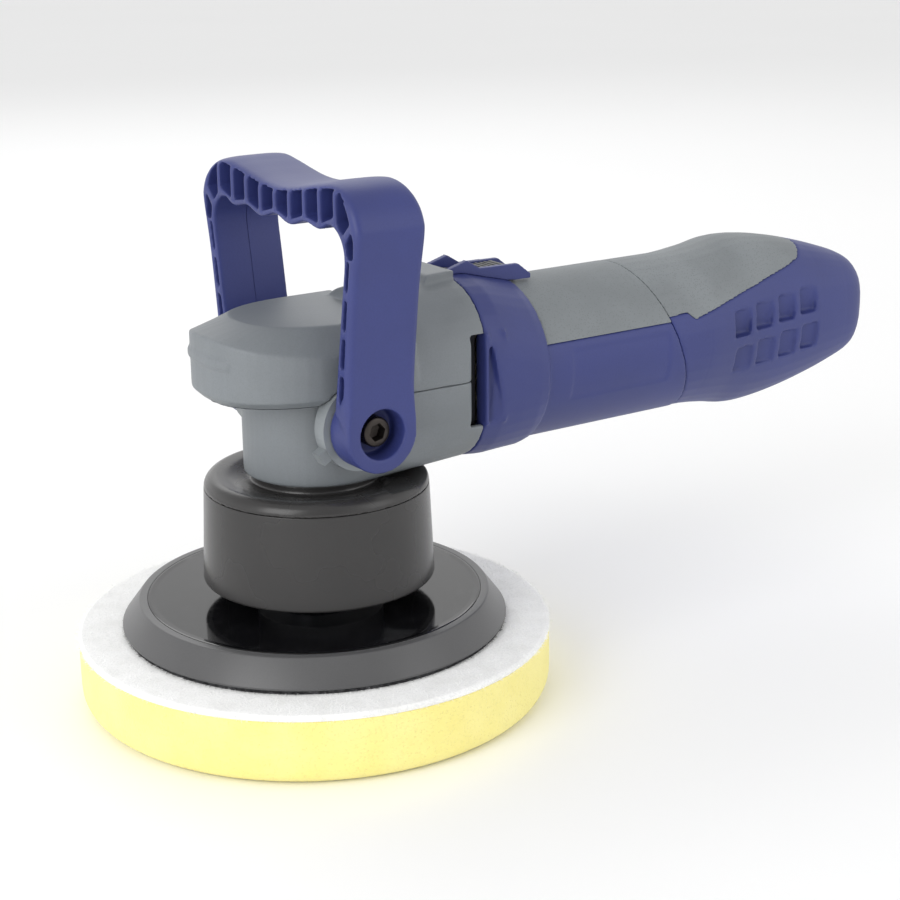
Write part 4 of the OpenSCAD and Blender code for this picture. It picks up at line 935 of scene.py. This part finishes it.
def makeMotorHousing():
    housing = fromFrame("motor_housing", "motorHousing")
    top, bottom = axisZ + 20.6, axisZ - 13.6
    # the louvre's rear edge leans, so the recess is a narrow triangle
    for s in (1, -1):
        join(housing, prism([(cuffX - 0.1, s * (headHalf - 8)), (cuffX - 0.1, s * (headHalf - 5.2)),
                             (cuffX + 9.3, s * (headHalf - 1.1)), (cuffX + 9.3, s * (headHalf - 4))], "z",
                            bottom - 0.6, top + 0.6))
        join(housing, prism([(cuffX - 0.1, s * (headHalf - 8)), (cuffX - 0.1, s * (headHalf - 1.0)),
                             (cuffX + 1.5, s * (headHalf - 0.8)), (cuffX + 1.5, s * (headHalf - 8))], "z",
                            bottom - 0.6, top + 0.6))
        web = prism([(cuffX + 2.2, top), (cuffX + 9.5, top), (cuffX + 9.5, bottom), (cuffX + 8.4, bottom)], "y",
                    s * (headHalf - 6), s * (headHalf + 3))
        keep(web, cuffSolid(0.02))
        join(housing, web)
    soften(housing, motorHousing["voxel"], motorHousing["rounds"])
    present(housing, "motorHousing", "housing", "shell", ["motor_housing"])
    # dark sheet behind each air slit: painted shade standing for the dark space inside the housing
    for s, side in ((1, "Left"), (-1, "Right")):
        shadeSheet = prism([(cuffX - 8.5, s * 26.5), (cuffX - 8.5, s * 27.3), (cuffX - 0.6, s * 27.3),
                       (cuffX - 0.6, s * 26.5)], "z", bottom - 1.5, top + 1.5)
        mesh = bmesh.new()
        mesh.from_mesh(shadeSheet.data)
        bmesh.ops.subdivide_edges(mesh, edges=mesh.edges, cuts=7, use_grid_fill=True)
        mesh.to_mesh(shadeSheet.data)
        mesh.free()
        nudge(shadeSheet, lambda p: p + Vector((0, 0.3 * noise.noise(p * 0.5), 0)))
        present(shadeSheet, "slitShadeSheet" + side, "housing", "button", [])
    grip = fromFrame("motor_grip", "motorGrip")
    soften(grip, motorHousing["gripVoxel"], motorHousing["gripRounds"])

    def proud(p):
        out = Vector((0, p.y, p.z - axisZ))
        share = max(0.0, min(1.0, (out.length - 31.0) / 0.9))
        return p + out.normalized() * share * motorHousing["gripProud"]

    nudge(grip, proud)
    present(grip, "motorGrip", "housing", "grip", ["motor_grip"])


# slide switch
slideSwitch = dict(cowlVoxel=0.42, buttonVoxel=0.3, rounds=2)


def makeSwitch():
    cowl = fromFrame("switch_cowl", "switchCowl")
    soften(cowl, slideSwitch["cowlVoxel"], slideSwitch["rounds"])
    present(cowl, "switchCowl", "housing", "shell", ["switch_cowl"], 30)
    button = fromFrame("switch_slider", "switchButton")
    soften(button, slideSwitch["buttonVoxel"], slideSwitch["rounds"])
    present(button, "switchButton", "switch", "button", ["switch_slider"], 30)


# rear handle
rearHandle = dict(voxel=0.7, rounds=4, gripVoxel=0.6, gripRounds=2)
gripForm = [(0, 32.1, 32.1), (0.28, 32.1, 32.1), (0.4, 30.2, 33.8), (0.5, 28.4, 36.1), (0.64, 27, 34.6),
            (0.78, 25.4, 30.6), (0.9, 23.2, 25.8), (0.965, 21, 22.2), (1, 17.6, 18.6)]
gripEnd = high("handle_shell_left").x
gripStart = 128.3


def flowing(p):
    # eases the straight stretches between the handle's sections into one curve
    share = (p.x - gripStart) / (gripEnd - gripStart)
    if share <= 0.285 or share >= 0.999:
        return p
    k = max(i for i in range(len(gripForm) - 1) if gripForm[i][0] <= share)
    t = (share - gripForm[k][0]) / (gripForm[k + 1][0] - gripForm[k][0])
    before, after = gripForm[max(0, k - 1)], gripForm[min(len(gripForm) - 1, k + 2)]
    a, b = gripForm[k], gripForm[k + 1]
    factors = []
    for n in (1, 2):
        span = b[0] - a[0]
        slopeA = (b[n] - before[n]) / (b[0] - before[0]) * span if k else 0.0
        slopeB = (after[n] - a[n]) / (after[0] - a[0]) * span if after is not b else (b[n] - a[n])
        curve = ((2 * t ** 3 - 3 * t * t + 1) * a[n] + (t ** 3 - 2 * t * t + t) * slopeA
                 + (3 * t * t - 2 * t ** 3) * b[n] + (t ** 3 - t * t) * slopeB)
        factors.append(curve / (a[n] + (b[n] - a[n]) * t))
    middle = axisZ + 0.3
    return Vector((p.x, p.y * factors[0], middle + (p.z - middle) * factors[1]))


def makeRearHandle():
    for side in ("left", "right"):
        shell = fromFrame("handle_shell_" + side, "shell" + side.title())
        soften(shell, rearHandle["voxel"], rearHandle["rounds"])
        nudge(shell, flowing)
        present(shell, "handleShell" + side.title(), "housing", "shell", ["handle_shell_" + side])
    grip = fromFrame("rear_grip", "rearGrip")
    soften(grip, rearHandle["gripVoxel"], rearHandle["gripRounds"])
    nudge(grip, flowing)
    present(grip, "rearGrip", "housing", "grip", ["rear_grip"])


makeFoamPad()
makePile()
makeHookLayer()
makeBackingPlate()
makeDrum()
makeHeadCover()
makeBail()
makePivotBolts()
makeMotorHousing()
makeSwitch()
makeRearHandle()
print("pieces shaped")


# studio
studio = dict(floorSize=60.0, zenith=0.72, horizon=1.25, cameraSide=0.42)
bpy.ops.mesh.primitive_grid_add(x_subdivisions=24, y_subdivisions=24, size=studio["floorSize"], location=(0, 0, 0))
floor = bpy.context.object
floor.name = "floor"
paper = Finish("paleFloor", specularIorLevel=0.2)
mottle = paper.grain(400, 3.0)
floor.data.materials.append(paper.done(paper.mix((0.95, 0.95, 0.95, 1), (0.97, 0.97, 0.97, 1), mottle), 0.8))

world = bpy.data.worlds.new("softRoom")
scene.world = world
world.use_nodes = True
sky = world.node_tree
way = sky.nodes.new("ShaderNodeTexCoord")
split = sky.nodes.new("ShaderNodeSeparateXYZ")
sky.links.new(way.outputs["Generated"], split.inputs[0])
climb = sky.nodes.new("ShaderNodeMapRange")
climb.interpolation_type = "SMOOTHSTEP"
for key, value in (("From Min", 0.05), ("From Max", 0.95), ("To Min", studio["horizon"]), ("To Max", studio["zenith"])):
    climb.inputs[key].default_value = value
sky.links.new(split.outputs["Z"], climb.inputs["Value"])
# the side of the room behind the camera is dimmer
toward = sky.nodes.new("ShaderNodeVectorMath")
toward.operation = "DOT_PRODUCT"
toward.inputs[1].default_value = (-0.5647, -0.8253, 0.0)
sky.links.new(way.outputs["Generated"], toward.inputs[0])
dim = sky.nodes.new("ShaderNodeMapRange")
dim.interpolation_type = "SMOOTHSTEP"
for key, value in (("From Min", 0.45), ("From Max", 1.0), ("To Min", 1.0), ("To Max", studio["cameraSide"])):
    dim.inputs[key].default_value = value
sky.links.new(toward.outputs["Value"], dim.inputs["Value"])
both = sky.nodes.new("ShaderNodeMath")
both.operation = "MULTIPLY"
sky.links.new(climb.outputs[0], both.inputs[0])
sky.links.new(dim.outputs[0], both.inputs[1])
sky.links.new(both.outputs[0], sky.nodes["Background"].inputs["Strength"])
sky.nodes["Background"].inputs["Color"].default_value = (1, 1, 1, 1)


def softbox(name, place, aim, size, power):
    light = bpy.data.lights.new(name, "AREA")
    light.shape = "RECTANGLE"
    light.size, light.size_y = size
    light.energy = power
    made = bpy.data.objects.new(name, light)
    made.location = place
    made.rotation_euler = (Vector(aim) - Vector(place)).to_track_quat("-Z", "Y").to_euler()
    scene.collection.objects.link(made)


softbox("leftBox", (-1.3, -0.5, 0.75), (0, 0, 0.1), (0.9, 1.1), 11.0)
softbox("rightBox", (0.9, -1.25, 0.8), (0.08, 0, 0.1), (0.8, 1.0), 2.5)
softbox("backBox", (0.5, 1.4, 1.2), (0.05, 0, 0.1), (1.4, 0.8), 5.0)

# camera
viewpoint = dict(place=(-0.3205, -0.5572, 0.2951), right=(0.8238, -0.5668, -0.0086), up=(0.1764, 0.2420, 0.9541),
                 lens=72.0)
cameraData = bpy.data.cameras.new("viewpoint")
cameraData.lens = viewpoint["lens"]
cameraData.sensor_width = 36
cameraData.clip_start = 0.02
cameraData.clip_end = 100
camera = bpy.data.objects.new("viewpoint", cameraData)
right, up = Vector(viewpoint["right"]).normalized(), Vector(viewpoint["up"]).normalized()
turn = Matrix((right, up, right.cross(up))).transposed().to_4x4()
camera.matrix_world = Matrix.Translation(viewpoint["place"]) @ turn
scene.collection.objects.link(camera)
scene.camera = camera
scene.view_settings.view_transform = "Standard"
scene.view_settings.look = "None"
print("studio set")
